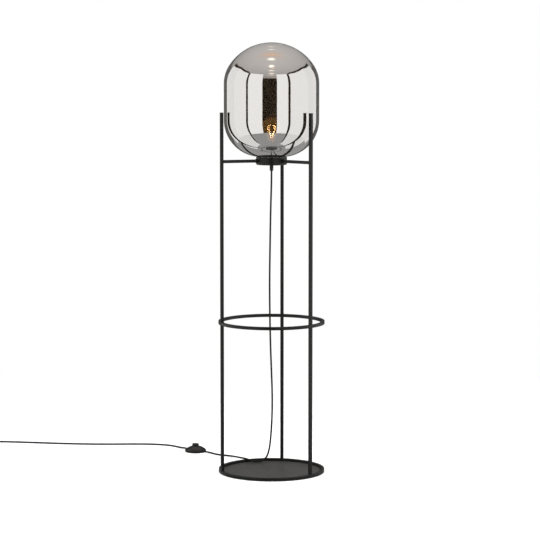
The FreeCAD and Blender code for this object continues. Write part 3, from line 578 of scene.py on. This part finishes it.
def turned(name: str, outline: Line, place: Matrix = Matrix.Identity(4), segments: int = 96,
           inside_from: int = -1) -> bpy.types.Object:
    """A piece turned about its own upright axis.

    Args:
        name: the piece's name.
        outline: its closed outline of (radius, height) points in millimetres.
        place: where its own frame stands, in metres.
        segments: spans around the axis.
        inside_from: the outline point from which the second material begins.

    Returns:
        The piece.
    """
    form = bmesh.new()
    rings = []
    for radius, height in outline:
        if radius < 1e-6:
            rings.append([form.verts.new((0, 0, height * MM))] * segments)
            continue
        turns = [2 * math.pi * n / segments for n in range(segments)]
        rings.append([form.verts.new((radius * MM * math.cos(a), radius * MM * math.sin(a), height * MM))
                      for a in turns])
    for number, ring in enumerate(rings):
        other = rings[(number + 1) % len(rings)]
        for n in range(segments):
            corners = []
            for vertex in (ring[n], ring[(n + 1) % segments], other[(n + 1) % segments], other[n]):
                if vertex not in corners:
                    corners.append(vertex)
            if len(corners) > 2:
                face = form.faces.new(corners)
                face.material_index = int(0 <= inside_from <= number)
    bmesh.ops.transform(form, matrix=place, verts=form.verts)
    return keep(name, form)


def wire(name: str, points: list[Vector], radius: float, smooth: bool = True,
         closed: bool = False) -> bpy.types.Object:
    """A round wire along points.

    Args:
        name: the piece's name.
        points: its points in metres.
        radius: its radius in millimetres.
        smooth: a smooth line near the points, or straight runs.
        closed: whether it ends where it starts.

    Returns:
        The piece.
    """
    curve = bpy.data.curves.new(name, "CURVE")
    curve.dimensions = "3D"
    curve.bevel_depth = radius * MM
    curve.bevel_resolution = 4
    curve.use_fill_caps = True
    line = curve.splines.new("NURBS" if smooth else "POLY")
    line.points.add(len(points) - 1)
    for vertex, point in zip(line.points, points):
        vertex.co = (*point, 1.0)
    line.use_cyclic_u = closed
    if smooth:
        line.order_u = 3
        line.use_endpoint_u = not closed
        line.resolution_u = 8
    piece = bpy.data.objects.new(name, curve)
    bpy.context.scene.collection.objects.link(piece)
    return piece


# ---- the lead ----


@dataclass
class Lead:
    """The round lead: down from the hub, over the rim into the foot switch, and on to its put-away coil."""

    radius: float = 3.0
    hub_length: float = 1.32
    floor_length: float = 1.49
    coil_centre: tuple[float, float] = (-1093.2, 260.0)
    coil_radius: float = 39.5
    coil_pitch: float = 6.8
    coil_start: float = 102.0
    coil_turns: float = 3.25
    inward_turns: float = 2.0
    climb_turns: float = 0.5
    floor_gap: float = 0.2
    points_per_turn: int = 16
    to_switch: tuple[tuple[float, float, float], ...] = (
        (0, 0, 998), (0, 0, 960), (-3, 3.5, 893), (-6, 10, 818), (-9, 18.5, 738), (-12.5, 29, 655),
        (-15, 41, 571), (-16.5, 53.5, 487), (-17.5, 67, 403), (-17, 80, 320), (-17, 93.5, 238),
        (-20.5, 105, 160), (-26.5, 114, 96), (-32.5, 119, 51), (-43, 119.5, 20), (-64, 117.5, 6.6),
        (-88, 115, 8.5), (-113, 119, 15.4), (-139, 137, 15.0), (-160, 170, 10.5), (-181, 201, 6.0),
        (-208, 222, 3.6), (-241, 233, 3.2), (-278, 253.5, 6.5), (-309.2, 271.5, 6.5),
    )
    to_coil: tuple[tuple[float, float, float], ...] = (
        (-350.8, 295.5, 6.5), (-377, 310.6, 6.5), (-399.5, 335, 3.2), (-429, 358.5, 3.2),
        (-467.5, 371, 3.2), (-513.5, 372.5, 3.2), (-573, 363, 3.2), (-639, 345.5, 3.2),
        (-708.5, 331, 3.2), (-782, 321.5, 3.2), (-856.5, 317, 3.2), (-932, 315, 3.2),
        (-1002, 312.5, 3.2), (-1057, 306, 3.2), (-1095.5, 300, 3.2),
    )
    to_plug: tuple[tuple[float, float, float], ...] = (
        (-1123.0, 268.0, 10.0), (-1122.0, 248.0, 10.0), (-1119.0, 226.0, 9.5), (-1115.5, 205.0, 8.0),
        (-1114.7, 195.1, 7.0),
    )

    def coil_points(self) -> list[Vector]:
        """Give the coil's centre line: inwards a pitch a turn, up a layer, and out again over itself.

        Returns:
            Its points in metres.
        """
        points = []
        for number in range(1, round(self.coil_turns * self.points_per_turn) + 1):
            turns = number / self.points_per_turn
            past = turns - self.inward_turns
            radius = self.coil_radius - self.coil_pitch * (self.inward_turns - abs(past))
            share = min(max(past / self.climb_turns + 0.5, 0.0), 1.0)
            height = self.radius + self.floor_gap + self.coil_pitch * share * share * (3 - 2 * share)
            points.append(polar(radius, self.coil_start + 360 * turns, height, self.coil_centre))
        return points

    def build(self, shelf: FinishShelf, on_switch: list[bpy.types.Object],
              on_plug: list[bpy.types.Object]) -> None:
        """Lay both lengths of the lead.

        Args:
            shelf: the finishes.
            on_switch: the pieces of the foot switch; not used.
            on_plug: the pieces of the plug; not used.
        """
        upper_points = [metres(*point) for point in self.to_switch]
        upper = wire("lead_to_switch", upper_points, self.radius)
        shelf.dress(upper, "black_rubber", Body.FRAME, "cord_hub_to_switch")
        floor_points = [metres(*point) for point in self.to_coil]
        points = floor_points + self.coil_points() + [metres(*point) for point in self.to_plug]
        lower = wire("lead_to_plug", points, self.radius)
        shelf.dress(lower, "black_rubber", Body.FRAME, "cord_switch_to_coil", "cord_coil")


# ---- globe, bulb and holder ----


@dataclass
class GlassGlobe:
    """The blown globe: ground foot, bowl, straight middle, shoulder and dome."""

    radius: float = 155.5
    top: float = 1416.0
    foot_height: float = 1044.3
    foot_radius: float = 44.0
    foot_ease: tuple[float, float] = (0.4, 0.5)
    opening: float = 38.0
    wall: float = 2.8
    bowl: float = 120.0
    shoulder: float = 110.0
    dome: float = 165.0

    def side(self, inset: float) -> Line:
        """Give the wall's line from the foot to the top.

        Args:
            inset: how far it lies inside the outer face.

        Returns:
            (radius, height) points.
        """
        bowl_x = self.radius - self.bowl
        bowl_z = self.foot_height + math.sqrt(self.bowl ** 2 - (self.foot_radius - bowl_x) ** 2)
        shoulder_x = self.radius - self.shoulder
        dome_z = self.top - self.dome
        shoulder_z = dome_z + math.sqrt((self.dome - self.shoulder) ** 2 - shoulder_x ** 2)
        turn = math.degrees(math.atan2(shoulder_z - dome_z, shoulder_x))
        first_x = self.foot_radius if inset == 0 else self.opening
        start = -math.degrees(math.acos((first_x - bowl_x) / (self.bowl - inset)))
        line = arc((bowl_x, bowl_z), self.bowl - inset, start, 0.0, 44)
        line += arc((shoulder_x, shoulder_z), self.shoulder - inset, 0.0, turn, 20)
        line += arc((0.0, dome_z), self.dome - inset, turn, 90.0, 36)[1:]
        line[-1] = (0.0, line[-1][1])
        return line

    def build(self, shelf: FinishShelf) -> None:
        """Blow the globe and give it its coats.

        Args:
            shelf: the finishes.
        """
        outside, inside = self.side(0.0), self.side(self.wall)
        ground = [(self.opening + self.foot_ease[0], self.foot_height),
                  (self.foot_radius - self.foot_ease[1], self.foot_height)]
        outline = ground + outside + inside[::-1]
        globe = turned("blown_globe", outline, segments=192, inside_from=len(ground) + len(outside) - 1)
        globe.data.materials.append(shelf.get("smoked_mirror_glass"))
        globe.data.materials.append(SMOKED_INSIDE.material())
        shelf.dress(globe, "smoked_mirror_glass", Body.GLOBE, "glass_globe")


@dataclass
class Bulb:
    """The lit bulb's inner works: bowed filament rods with their caps and wires."""

    rods: int = 4
    rod_radius: float = 0.9
    first_angle: float = 45.0
    rod_line: Points = ((4.0, 1108.0), (4.4, 1114.0), (7.0, 1121.5), (13.0, 1127.0), (16.0, 1134.0),
                        (15.0, 1141.5), (10.0, 1146.5), (5.5, 1147.5))
    leg_line: Points = ((1.6, 1078.0), (1.8, 1100.0), (2.4, 1106.0), (4.0, 1108.5))
    leg_radius: float = 0.35

    def line(self, points: Points, number: int) -> list[Vector]:
        """Turn (radius, height) points to where a rod stands.

        Args:
            points: the points.
            number: the rod's number.

        Returns:
            The points in metres.
        """
        angle = self.first_angle + 360 / self.rods * number
        return [polar(out, angle, up) for out, up in points]

    def build(self, shelf: FinishShelf) -> None:
        """Make the rods and the wires that hold them.

        Args:
            shelf: the finishes.
        """
        for number in range(self.rods):
            rod = wire(f"filament_rod_{number}", self.line(self.rod_line, number), self.rod_radius)
            shelf.dress(rod, "filament_coating", Body.FRAME, *(() if number else ("bulb_filaments",)))
            leg = wire(f"filament_leg_{number}", self.line(self.leg_line, number), self.leg_radius)
            shelf.dress(leg, "bulb_metal", Body.FRAME)


# ---- foot switch, plug and small parts ----


@dataclass
class FootSwitch:
    """The foot switch's push button and the spring under it."""

    place: tuple[float, float, float] = (-330.0, 283.5, 150.0)
    radius: float = 11.5
    wall: float = 2.0
    cap: float = 2.4
    crown: float = 0.5
    top_ease: float = 1.4
    inner_ease: float = 0.8
    skirt_ease: float = 0.3
    skirt: float = 13.5
    skirt_bottom: float = 16.1
    skirt_top: float = 17.9
    top: float = 29.5
    spring_radius: float = 4.9
    spring_bottom: float = 12.2
    spring_top: float = 27.1
    spring_turns: float = 6.0
    points_per_turn: int = 14
    wire_radius: float = 0.6

    def frame(self) -> Matrix:
        """Give where the switch's own frame stands."""
        x, y, angle = self.place
        return Matrix.Translation(metres(x, y, 0.0)) @ Matrix.Rotation(math.radians(angle), 4, "Z")

    def build(self, shelf: FinishShelf) -> None:
        """Make the button and the spring.

        Args:
            shelf: the finishes.
        """
        inside, ceiling = self.radius - self.wall, self.top - self.cap
        outline = eased(((0.0, self.top), (0.0, ceiling), (inside, ceiling, self.inner_ease),
                         (inside, self.skirt_bottom), (self.skirt, self.skirt_bottom, self.skirt_ease),
                         (self.skirt, self.skirt_top, self.skirt_ease), (self.radius, self.skirt_top),
                         (self.radius, self.top - self.crown, self.top_ease)))
        button = turned("push_button", outline, self.frame())
        shelf.dress(button, "black_plastic", Body.BUTTON, "switch_button")
        steps = int(self.spring_turns * self.points_per_turn)
        bottom, top = self.spring_bottom + self.wire_radius, self.spring_top - self.wire_radius
        points = [self.frame() @ polar(self.spring_radius, 360 * self.spring_turns * step / steps,
                                       bottom + (top - bottom) * step / steps) for step in range(steps + 1)]
        spring = wire("button_spring", points, self.wire_radius)
        shelf.dress(spring, "zinc_steel", Body.FRAME, "switch_spring")


@dataclass
class SocketScrews:
    """Screws with a rounded head and a round socket, evenly about the lamp's axis.

    Socket depth and rounding are shares of the head's height.
    """

    name: str
    replaces: str
    circle: float
    first_angle: float
    head: tuple[float, float, float]
    shank: tuple[float, float]
    socket: float = 1.6
    socket_depth: float = 0.6
    rounding: float = 0.45
    eases: tuple[float, float, float] = (0.15, 0.1, 0.3)
    count: int = 3
    head_down: bool = False

    def build(self, shelf: FinishShelf) -> None:
        """Turn the screws, each with its socket.

        Args:
            shelf: the finishes.
        """
        head_radius, bottom, top = self.head
        shank_radius, end = self.shank
        rim_ease, seat_ease, end_ease = self.eases
        depth = (top - bottom) * self.socket_depth
        face, seat = (bottom, top) if self.head_down else (top, bottom)
        inward = depth if self.head_down else -depth
        outline = eased(((0.0, face + inward), (self.socket, face + inward), (self.socket, face, rim_ease),
                         (head_radius, face, (top - bottom) * self.rounding), (head_radius, seat, seat_ease),
                         (shank_radius, seat), (shank_radius, end, end_ease), (0.0, end)))
        for number in range(self.count):
            turn = Matrix.Rotation(math.radians(self.first_angle + 360.0 / self.count * number), 4, "Z")
            place = turn @ Matrix.Translation(metres(self.circle, 0.0, 0.0))
            screw = turned(f"{self.name}_{number}", outline, place, segments=24)
            shelf.dress(screw, "zinc_steel", Body.FRAME, *(() if number else (self.replaces,)))


@dataclass
class WeldBeads:
    """The coated weld beads at the posts' joints with the rim and the upper ring."""

    ring_radius: float = 170.0
    half_width: float = 5.0
    heights: tuple[float, ...] = (11.7, 494.8, 505.2)
    bead: float = 0.7
    points_per_edge: int = 4
    ripple: float = 0.15
    ripple_turn: float = 2.4
    posts: tuple[tuple[str, float], ...] = (("back", 90.0), ("left", 210.0), ("right", 330.0))

    def build(self, shelf: FinishShelf) -> None:
        """Lay a bead around each joint.

        Args:
            shelf: the finishes.
        """
        for number, height in enumerate(self.heights):
            for side, angle in self.posts:
                turn = Matrix.Rotation(math.radians(angle), 4, "Z")
                corners = []
                for along in range(4 * self.points_per_edge):
                    edge, step = divmod(along, self.points_per_edge)
                    run = 2 * step / self.points_per_edge - 1
                    x, y = ((1, run), (-run, 1), (-1, -run), (run, -1))[edge]
                    ripple = self.ripple * math.sin(along * self.ripple_turn)
                    corners.append(turn @ metres(self.ring_radius + x * self.half_width,
                                                 y * self.half_width, height + ripple))
                bead = wire(f"weld_{side}_{number}", corners, self.bead, smooth=False, closed=True)
                shelf.dress(bead, "black_coat", Body.FRAME)


@dataclass
class LeadFittings:
    """Ribs on the hub's strain relief and on the plug's grip, and the tie around the put-away coil."""

    relief_bottom: float = 998.0
    relief_radius: float = 6.2
    relief_taper: tuple[float, float, float] = (0.8, 11.2, 0.6)
    sunk: float = 0.1
    ribs: int = 4
    rib_pitch: float = 3.6
    first_relief_rib: float = 4.5
    first_plug_rib: float = 4.0
    relief_rib: float = 0.55
    plug_rib: float = 0.5
    plug_place: tuple[float, float, float, float] = (-1106.0, 154.0, 7.0, 282.0)
    plug_length: float = 20.0
    plug_half_width: tuple[float, float] = (17.3, 10.4)
    plug_half_height: tuple[float, float] = (6.6, 1.4)
    plug_rib_share: float = 0.33
    coil_centre: tuple[float, float] = Lead.coil_centre
    tie: float = 0.8
    tie_angles: tuple[float, float] = (262.0, 265.5)
    tie_line: Points = ((21.5, 2.0), (23.0, 0.9), (42.5, 0.9), (44.0, 2.0), (44.2, 12.0), (42.5, 14.4),
                        (23.0, 14.4), (21.3, 12.0))

    def build(self, shelf: FinishShelf) -> None:
        """Make the relief's ribs, the coil's tie and the plug's ribs.

        Args:
            shelf: the finishes.
        """
        start, length, taper = self.relief_taper
        for number in range(self.ribs):
            above = self.first_relief_rib + self.rib_pitch * number
            radius = min(self.relief_radius - taper + (above - start) * taper / length, self.relief_radius)
            ring = [polar(radius - self.sunk, angle, self.relief_bottom + above)
                    for angle in range(0, 360, 15)]
            self.fit(shelf, f"relief_rib_{number}", ring, self.relief_rib)
        for number, angle in enumerate(self.tie_angles):
            loop = [polar(out, angle, up, self.coil_centre) for out, up in self.tie_line]
            self.fit(shelf, f"coil_tie_{number}", loop, self.tie)
        x, y, z, angle = self.plug_place
        plug = Matrix.Translation(metres(x, y, z)) @ Matrix.Rotation(math.radians(angle), 4, "Z")
        for number in range(self.ribs):
            back = self.first_plug_rib + self.rib_pitch * number
            half_width, half_height = (first - less * back / self.plug_length
                                       for first, less in (self.plug_half_width, self.plug_half_height))
            reach = half_height * self.plug_rib_share
            for side, sign in (("left", -1), ("right", 1)):
                line = [plug @ metres(-back, sign * half_width, up * reach) for up in (-1.0, -0.4, 0.4, 1.0)]
                self.fit(shelf, f"plug_rib_{number}_{side}", line, self.plug_rib, closed=False)

    def fit(self, shelf: FinishShelf, name: str, points: list[Vector], radius: float,
            closed: bool = True) -> None:
        """Make a round rib or strap of black plastic along points."""
        shelf.dress(wire(name, points, radius, closed=closed), "black_plastic", Body.FRAME)


# ---- studio ----


@dataclass
class LampCamera:
    """The camera at the photograph's viewing angle."""

    distance: float = 7.2
    height: float = 1.44125
    azimuth: float = 12.0
    pitch: float = 6.10
    aim_left: float = 0.0395
    lens: float = 146.897

    def build(self) -> None:
        """Set the camera up and make it the scene's."""
        data = bpy.data.cameras.new("studio_camera")
        data.lens = self.lens
        data.sensor_width = 36.0
        data.clip_end = 60.0
        camera = bpy.data.objects.new("studio_camera", data)
        around = math.radians(self.azimuth)
        camera.location = (self.distance * math.sin(around), -self.distance * math.cos(around), self.height)
        camera.rotation_euler = (math.radians(90.0 - self.pitch), 0.0,
                                 math.radians(self.azimuth + self.aim_left))
        bpy.context.scene.collection.objects.link(camera)
        bpy.context.scene.camera = camera
        log.info("camera stands %.2f m off at %.0f degrees", self.distance, self.azimuth)


@dataclass
class Studio:
    """Floor, white surround, lights, the boards that the mirrored globe shows, and reflection-only sheets
    that paint the dome's warm highlights.
    """

    board_distance: float = 1.62
    board_top: float = 2.28
    camera_azimuth: float = LampCamera.azimuth
    board_tops: tuple[float, float, float] = (2.26, 2.42, 2.12)
    board_span: float = 4.0
    dark: float = 0.01
    edge_rise: float = 0.16
    edge_height: float = 0.2
    seam_rise: float = 0.05
    wedge_height: float = 0.003
    wedge_span: float = 6.0
    # Height and bright core of the sheets that paint the dome's highlights.
    highlight_height: float = 3.36
    highlight_core: float = 0.15
    ceiling_height: float = 3.4
    ceiling_radius: float = 6.0
    ceiling_fade: tuple[float, float] = (0.8, 5.0)
    floor_size: float = 9.0
    floor_fade: tuple[float, float] = (0.9, 2.4)
    floor_lift: float = 0.42
    floor_reflected: float = 0.42
    fill: float = 0.35

    def spot(self, around: float, away: float, height: float) -> tuple[float, float, float]:
        """Give a point by its degrees to the right of the camera, its distance and its height."""
        turn = math.radians(self.camera_azimuth + around)
        return away * math.sin(turn), -away * math.cos(turn), height

    def only_reflected(self, board: bpy.types.Object) -> NodeTree:
        """Let only reflections show a board, and start its material.

        Args:
            board: the board.

        Returns:
            The material's tree, without a shader.
        """
        material, nodes, shader = new_material(board.name)
        nodes.tree.nodes.remove(shader)
        board.data.materials.append(material)
        board.visible_camera = board.visible_diffuse = board.visible_shadow = False
        board.visible_transmission = board.visible_volume_scatter = False
        return nodes

    def band(self, name: str, pairs: list[list[tuple[float, float, float]]], brightness: float) -> None:
        """Stretch a glowing sheet over pairs of points.

        Args:
            name: its name.
            pairs: the points, two and two.
            brightness: how bright it looks.
        """
        form = bmesh.new()
        rungs = [[form.verts.new(point) for point in pair] for pair in pairs]
        for one, other in zip(rungs, rungs[1:]):
            form.faces.new((one[0], other[0], other[1], one[1]))
        nodes = self.only_reflected(keep(name, form))
        nodes.show(nodes.emission(brightness, Tone.BOARD.rgba))

    def board(self, name: str, start: float, end: float, bottom: float, tops: tuple[float, float],
              brightness: float, distance: float = 0.0, thickness: float = 0.0) -> None:
        """Stand a curved board around the lamp.

        Args:
            name: the board's name.
            start, end: its ends in degrees to the right of the camera.
            bottom: its lower edge's height in metres.
            tops: its upper edge's height in metres at either end.
            brightness: how bright it looks.
            distance: its distance from the lamp in metres, or 0 for the usual one.
            thickness: the height of a strip that is all there is of it, or 0 for a whole board.
        """
        away = distance or self.board_distance
        steps = max(2, int(abs(end - start) / self.board_span))
        pairs = []
        for number in range(steps + 1):
            around = start + (end - start) * number / steps
            top = tops[0] + (tops[1] - tops[0]) * number / steps
            pairs.append([self.spot(around, away, height)
                          for height in (top - thickness if thickness else bottom, top)])
        self.band(name, pairs, brightness)

    def floor_wedge(self, name: str, start: float, end: float, near: float, brightness: float) -> None:
        """Lay a wedge on the floor between the lamp and the boards.

        Args:
            name: its name.
            start, end: its edges in degrees to the right of the camera.
            near: how far from the lamp it begins, in metres.
            brightness: how bright it looks.
        """
        steps = max(1, int(abs(end - start) / self.wedge_span))
        pairs = [[self.spot(start + (end - start) * number / steps, away, self.wedge_height)
                  for away in (near, self.board_distance)] for number in range(steps + 1)]
        self.band(name, pairs, brightness)

    def highlight_sheet(self, name: str, ahead: float, size: tuple[float, float], strength: float,
                     tone: Tone = Tone.WARM_HIGHLIGHT) -> None:
        """Hang a soft-edged warm sheet under the ceiling, in line with the camera, that only reflections
        show: a painted highlight in the globe's dome that stands in for the bulb's own reflections.

        Args:
            name: its name.
            ahead: how far it hangs from the lamp towards the camera, in metres.
            size: its half width and half depth in metres.
            strength: how bright its middle looks.
            tone: its colour.
        """
        form = bmesh.new()
        bmesh.ops.create_circle(form, cap_ends=True, segments=48, radius=1.0)
        lamp = keep(name, form)
        lamp.location = self.spot(0.0, ahead, self.highlight_height)
        lamp.rotation_euler = (0.0, 0.0, math.radians(self.camera_azimuth))
        lamp.scale = (*size, 1.0)
        nodes = self.only_reflected(lamp)
        # The painted highlight fades from the sheet's core to its rim.
        mask = nodes.spread(nodes.distance(), self.highlight_core, 1.0, 1.0, 0.0)
        light = nodes.emission(strength, tone.rgba)
        nodes.show(nodes.blend(nodes.times(mask, mask), nodes.add("BsdfTransparent"), light))

    def ceiling(self) -> None:
        """Hang the grey ceiling that the globe's dome shows, darker towards its edges."""
        form = bmesh.new()
        bmesh.ops.create_circle(form, cap_ends=True, segments=64, radius=self.ceiling_radius)
        ceiling = keep("ceiling", form)
        ceiling.location = (0.0, 0.0, self.ceiling_height)
        nodes = self.only_reflected(ceiling)
        shade = nodes.spread(nodes.distance(), *self.ceiling_fade)
        nodes.show(nodes.emission(1.0, nodes.mix(shade, Tone.CEILING.rgba, Tone.CEILING_EDGE.rgba)))

    def surround(self) -> None:
        """Make the world white where it is seen, and softer where it lights."""
        world = bpy.data.worlds.new("white_surround")
        bpy.context.scene.world = world
        world.use_nodes = True
        nodes = NodeTree(world.node_tree)
        path = nodes.add("LightPath").outputs
        seen = path["Is Camera Ray"]
        for kind in ("Is Glossy Ray", "Is Transmission Ray"):
            seen = nodes.add("Math", {0: seen, 1: path[kind]}, operation="ADD", use_clamp=True).outputs[0]
        nodes.feed(world.node_tree.nodes["Background"],
                   {"Color": WHITE, "Strength": nodes.spread(seen, 0.0, 1.0, self.fill, 1.0)})

    def floor(self) -> None:
        """Lay the pale floor, which looks white outside the lamp's shadow."""
        form = bmesh.new()
        bmesh.ops.create_grid(form, x_segments=1, y_segments=1, size=self.floor_size)
        floor = keep("floor", form)
        material, nodes, shader = new_material("pale_floor")
        shade = nodes.mix(nodes.noise(3.0, 3.0), Tone.FLOOR.rgba, Tone.FLOOR_LIGHT.rgba)
        nodes.feed(shader, {"Base Color": shade, "Roughness": 0.9, "Specular IOR Level": 0.0})
        lit = nodes.add("AddShader", {0: shader.outputs[0], 1: nodes.emission(self.floor_lift).outputs[0]})
        seen = nodes.blend(nodes.spread(nodes.distance(), *self.floor_fade), lit, nodes.emission(1.0))
        path = nodes.add("LightPath").outputs
        unseen = nodes.blend(path["Is Glossy Ray"], shader, nodes.emission(self.floor_reflected))
        nodes.show(nodes.blend(path["Is Camera Ray"], unseen, seen))
        floor.data.materials.append(material)

    def softbox(self, name: str, place: tuple[float, float, float], aim: tuple[float, float, float],
                size: float, power: float) -> None:
        """Hang a soft light.

        Args:
            name: its name.
            place: where it hangs, in metres.
            aim: the point that it faces.
            size: its side in metres.
            power: its power in watts.
        """
        data = bpy.data.lights.new(name, "AREA")
        data.shape = "SQUARE"
        data.size = size
        data.energy = power
        light = bpy.data.objects.new(name, data)
        light.location = place
        light.rotation_euler = (Vector(aim) - Vector(place)).to_track_quat("-Z", "Y").to_euler()
        light.visible_camera = light.visible_glossy = light.visible_transmission = False
        bpy.context.scene.collection.objects.link(light)

    def build(self) -> None:
        """Set up the whole studio."""
        bpy.context.scene.view_settings.view_transform = "Standard"
        self.surround()
        self.floor()
        self.softbox("light_overhead", (0.3, -0.8, 3.6), (0, 0, 0.6), 2.6, 120.0)
        self.softbox("light_left", (-2.6, -3.2, 2.4), (0, 0, 0.9), 0.7, 60.0)
        self.softbox("light_right", (3.0, -2.6, 2.2), (0, 0, 0.9), 0.7, 45.0)
        near, inner, dark = self.board_distance, self.board_top, self.dark
        corner, high, low = self.board_tops
        seam = corner + self.seam_rise
        self.board("board_left_near", -56.0, -21.0, 0.0, (inner, inner), 1.30)
        self.board("board_right_near", 12.5, 39.0, 0.0, (inner, inner), 1.30)
        for side, start, middle, end in (("left", -61.0, -98.0, -132.0), ("right", 44.5, 96.0, 132.0)):
            far, back = (start, middle, 0.0, (corner, high)), (middle, end, 0.0, (high, low))
            self.board(f"board_{side}_far", *far, 1.24)
            self.board(f"board_{side}_back", *back, 1.14)
            for part, (first, last, bottom, tops) in (("far", far), ("back", back)):
                rims = tuple(top + self.edge_rise for top in tops)
                self.board(f"edge_{side}_{part}", first, last, bottom, rims, dark, near, self.edge_height)
        self.board("gap_dark", -21.0, 12.5, -0.1, (1.86, 1.86), 0.006, near + 0.05)
        self.board("seam_left", -61.2, -55.8, -0.1, (seam, seam), dark, near + 0.02)
        self.board("seam_right", 38.8, 44.7, -0.1, (seam, seam), dark, near + 0.02)
        self.board("backdrop_dark", 131.0, 229.0, 0.0, (2.15, 2.15), 0.13, 2.4)
        self.floor_wedge("floor_seam_left", -61.0, -57.0, 0.62, dark)
        self.floor_wedge("floor_seam_right", 40.0, 44.0, 0.62, dark)
        self.floor_wedge("floor_side_left", -61.0, -120.0, 0.45, 1.05)
        self.floor_wedge("floor_side_right", 44.0, 118.0, 0.45, 1.05)
        # Painted highlights: sheets seen only in reflections give the dome its column of warm highlights in
        # place of the bulb's own reflections.
        for name, ahead, size, strength in (
                ("lamp_back_far", -1.75, (0.30, 0.20), 1.6), ("lamp_back_near", -1.0, (0.30, 0.11), 1.9),
                ("highlight_over", 0.30, (0.42, 0.24), 2.6), ("highlight_front_near", 1.15, (0.36, 0.34), 3.2),
                ("lamp_front", 2.05, (0.60, 0.17), 2.2), ("lamp_front_far", 2.80, (0.75, 0.20), 2.2),
                ("highlight_front_end", 3.45, (0.95, 0.20), 1.8)):
            self.highlight_sheet(name, ahead, size, strength)
        # Painted glow: a wide warm sheet, seen only in reflections, spreads a warm glow over the dome.
        self.highlight_sheet("highlight_wide_glow", -0.25, (1.15, 0.62), 0.95, Tone.WIDE_HIGHLIGHT_GLOW)
        self.ceiling()


# ---- assembly ----


def dress_frame_nodes(shelf: FinishShelf) -> None:
    """Give every CAD node the finish of its slot, and ease the edges of the coated steel.

    Args:
        shelf: the finishes.
    """
    for name, node in frame["nodes"].items():
        slot = node.data.materials[0].name.split(".")[0]
        node.material_slots[0].material = shelf.get(slot)
        if slot == "black_coat" and name not in ("hub_cup", "hub_cover"):
            weld = node.modifiers.new("joined", "WELD")
            weld.merge_threshold = JOIN_DISTANCE
            edges = node.modifiers.new("eased_edges", "BEVEL")
            edges.width = EASED_EDGE
            edges.segments = 2
            edges.limit_method = "ANGLE"
            edges.angle_limit = EASED_ANGLE
        log.info("%s keeps its CAD shape in %s", name, slot)


def main() -> None:
    """Build the lamp and its studio in order."""
    logging.basicConfig(level=logging.INFO, format="%(message)s")
    shelf = FinishShelf()
    LampCamera().build()
    nodes = frame["nodes"]
    switch_nodes = ("switch_sole", "switch_base", "switch_cover", "switch_button", "switch_screws",
                    "cord_clamps")
    Lead().build(shelf, [nodes[name] for name in switch_nodes],
                 [nodes[name] for name in ("plug_body", "plug_relief", "plug_pins")])
    dress_frame_nodes(shelf)
    GlassGlobe().build(shelf)
    Bulb().build(shelf)
    # The tray gets the coat with the painted sheen.
    nodes["base_tray"].material_slots[0].material = TRAY_COAT_PAINTED_SHEEN.material()
    FootSwitch().build(shelf)
    SocketScrews("cover_screw", "cover_screws", 27.0, 30.0, (2.8, 1043.0, 1044.8), (1.5, 1031.0)).build(shelf)
    SocketScrews("base_screw", "base_screws", 170.0, 90.0, (3.5, 7.7, 10.3), (2.0, 23.5),
                 head_down=True).build(shelf)
    WeldBeads().build(shelf)
    LeadFittings().build(shelf)
    Studio().build()


if __name__ == "__main__":
    main()
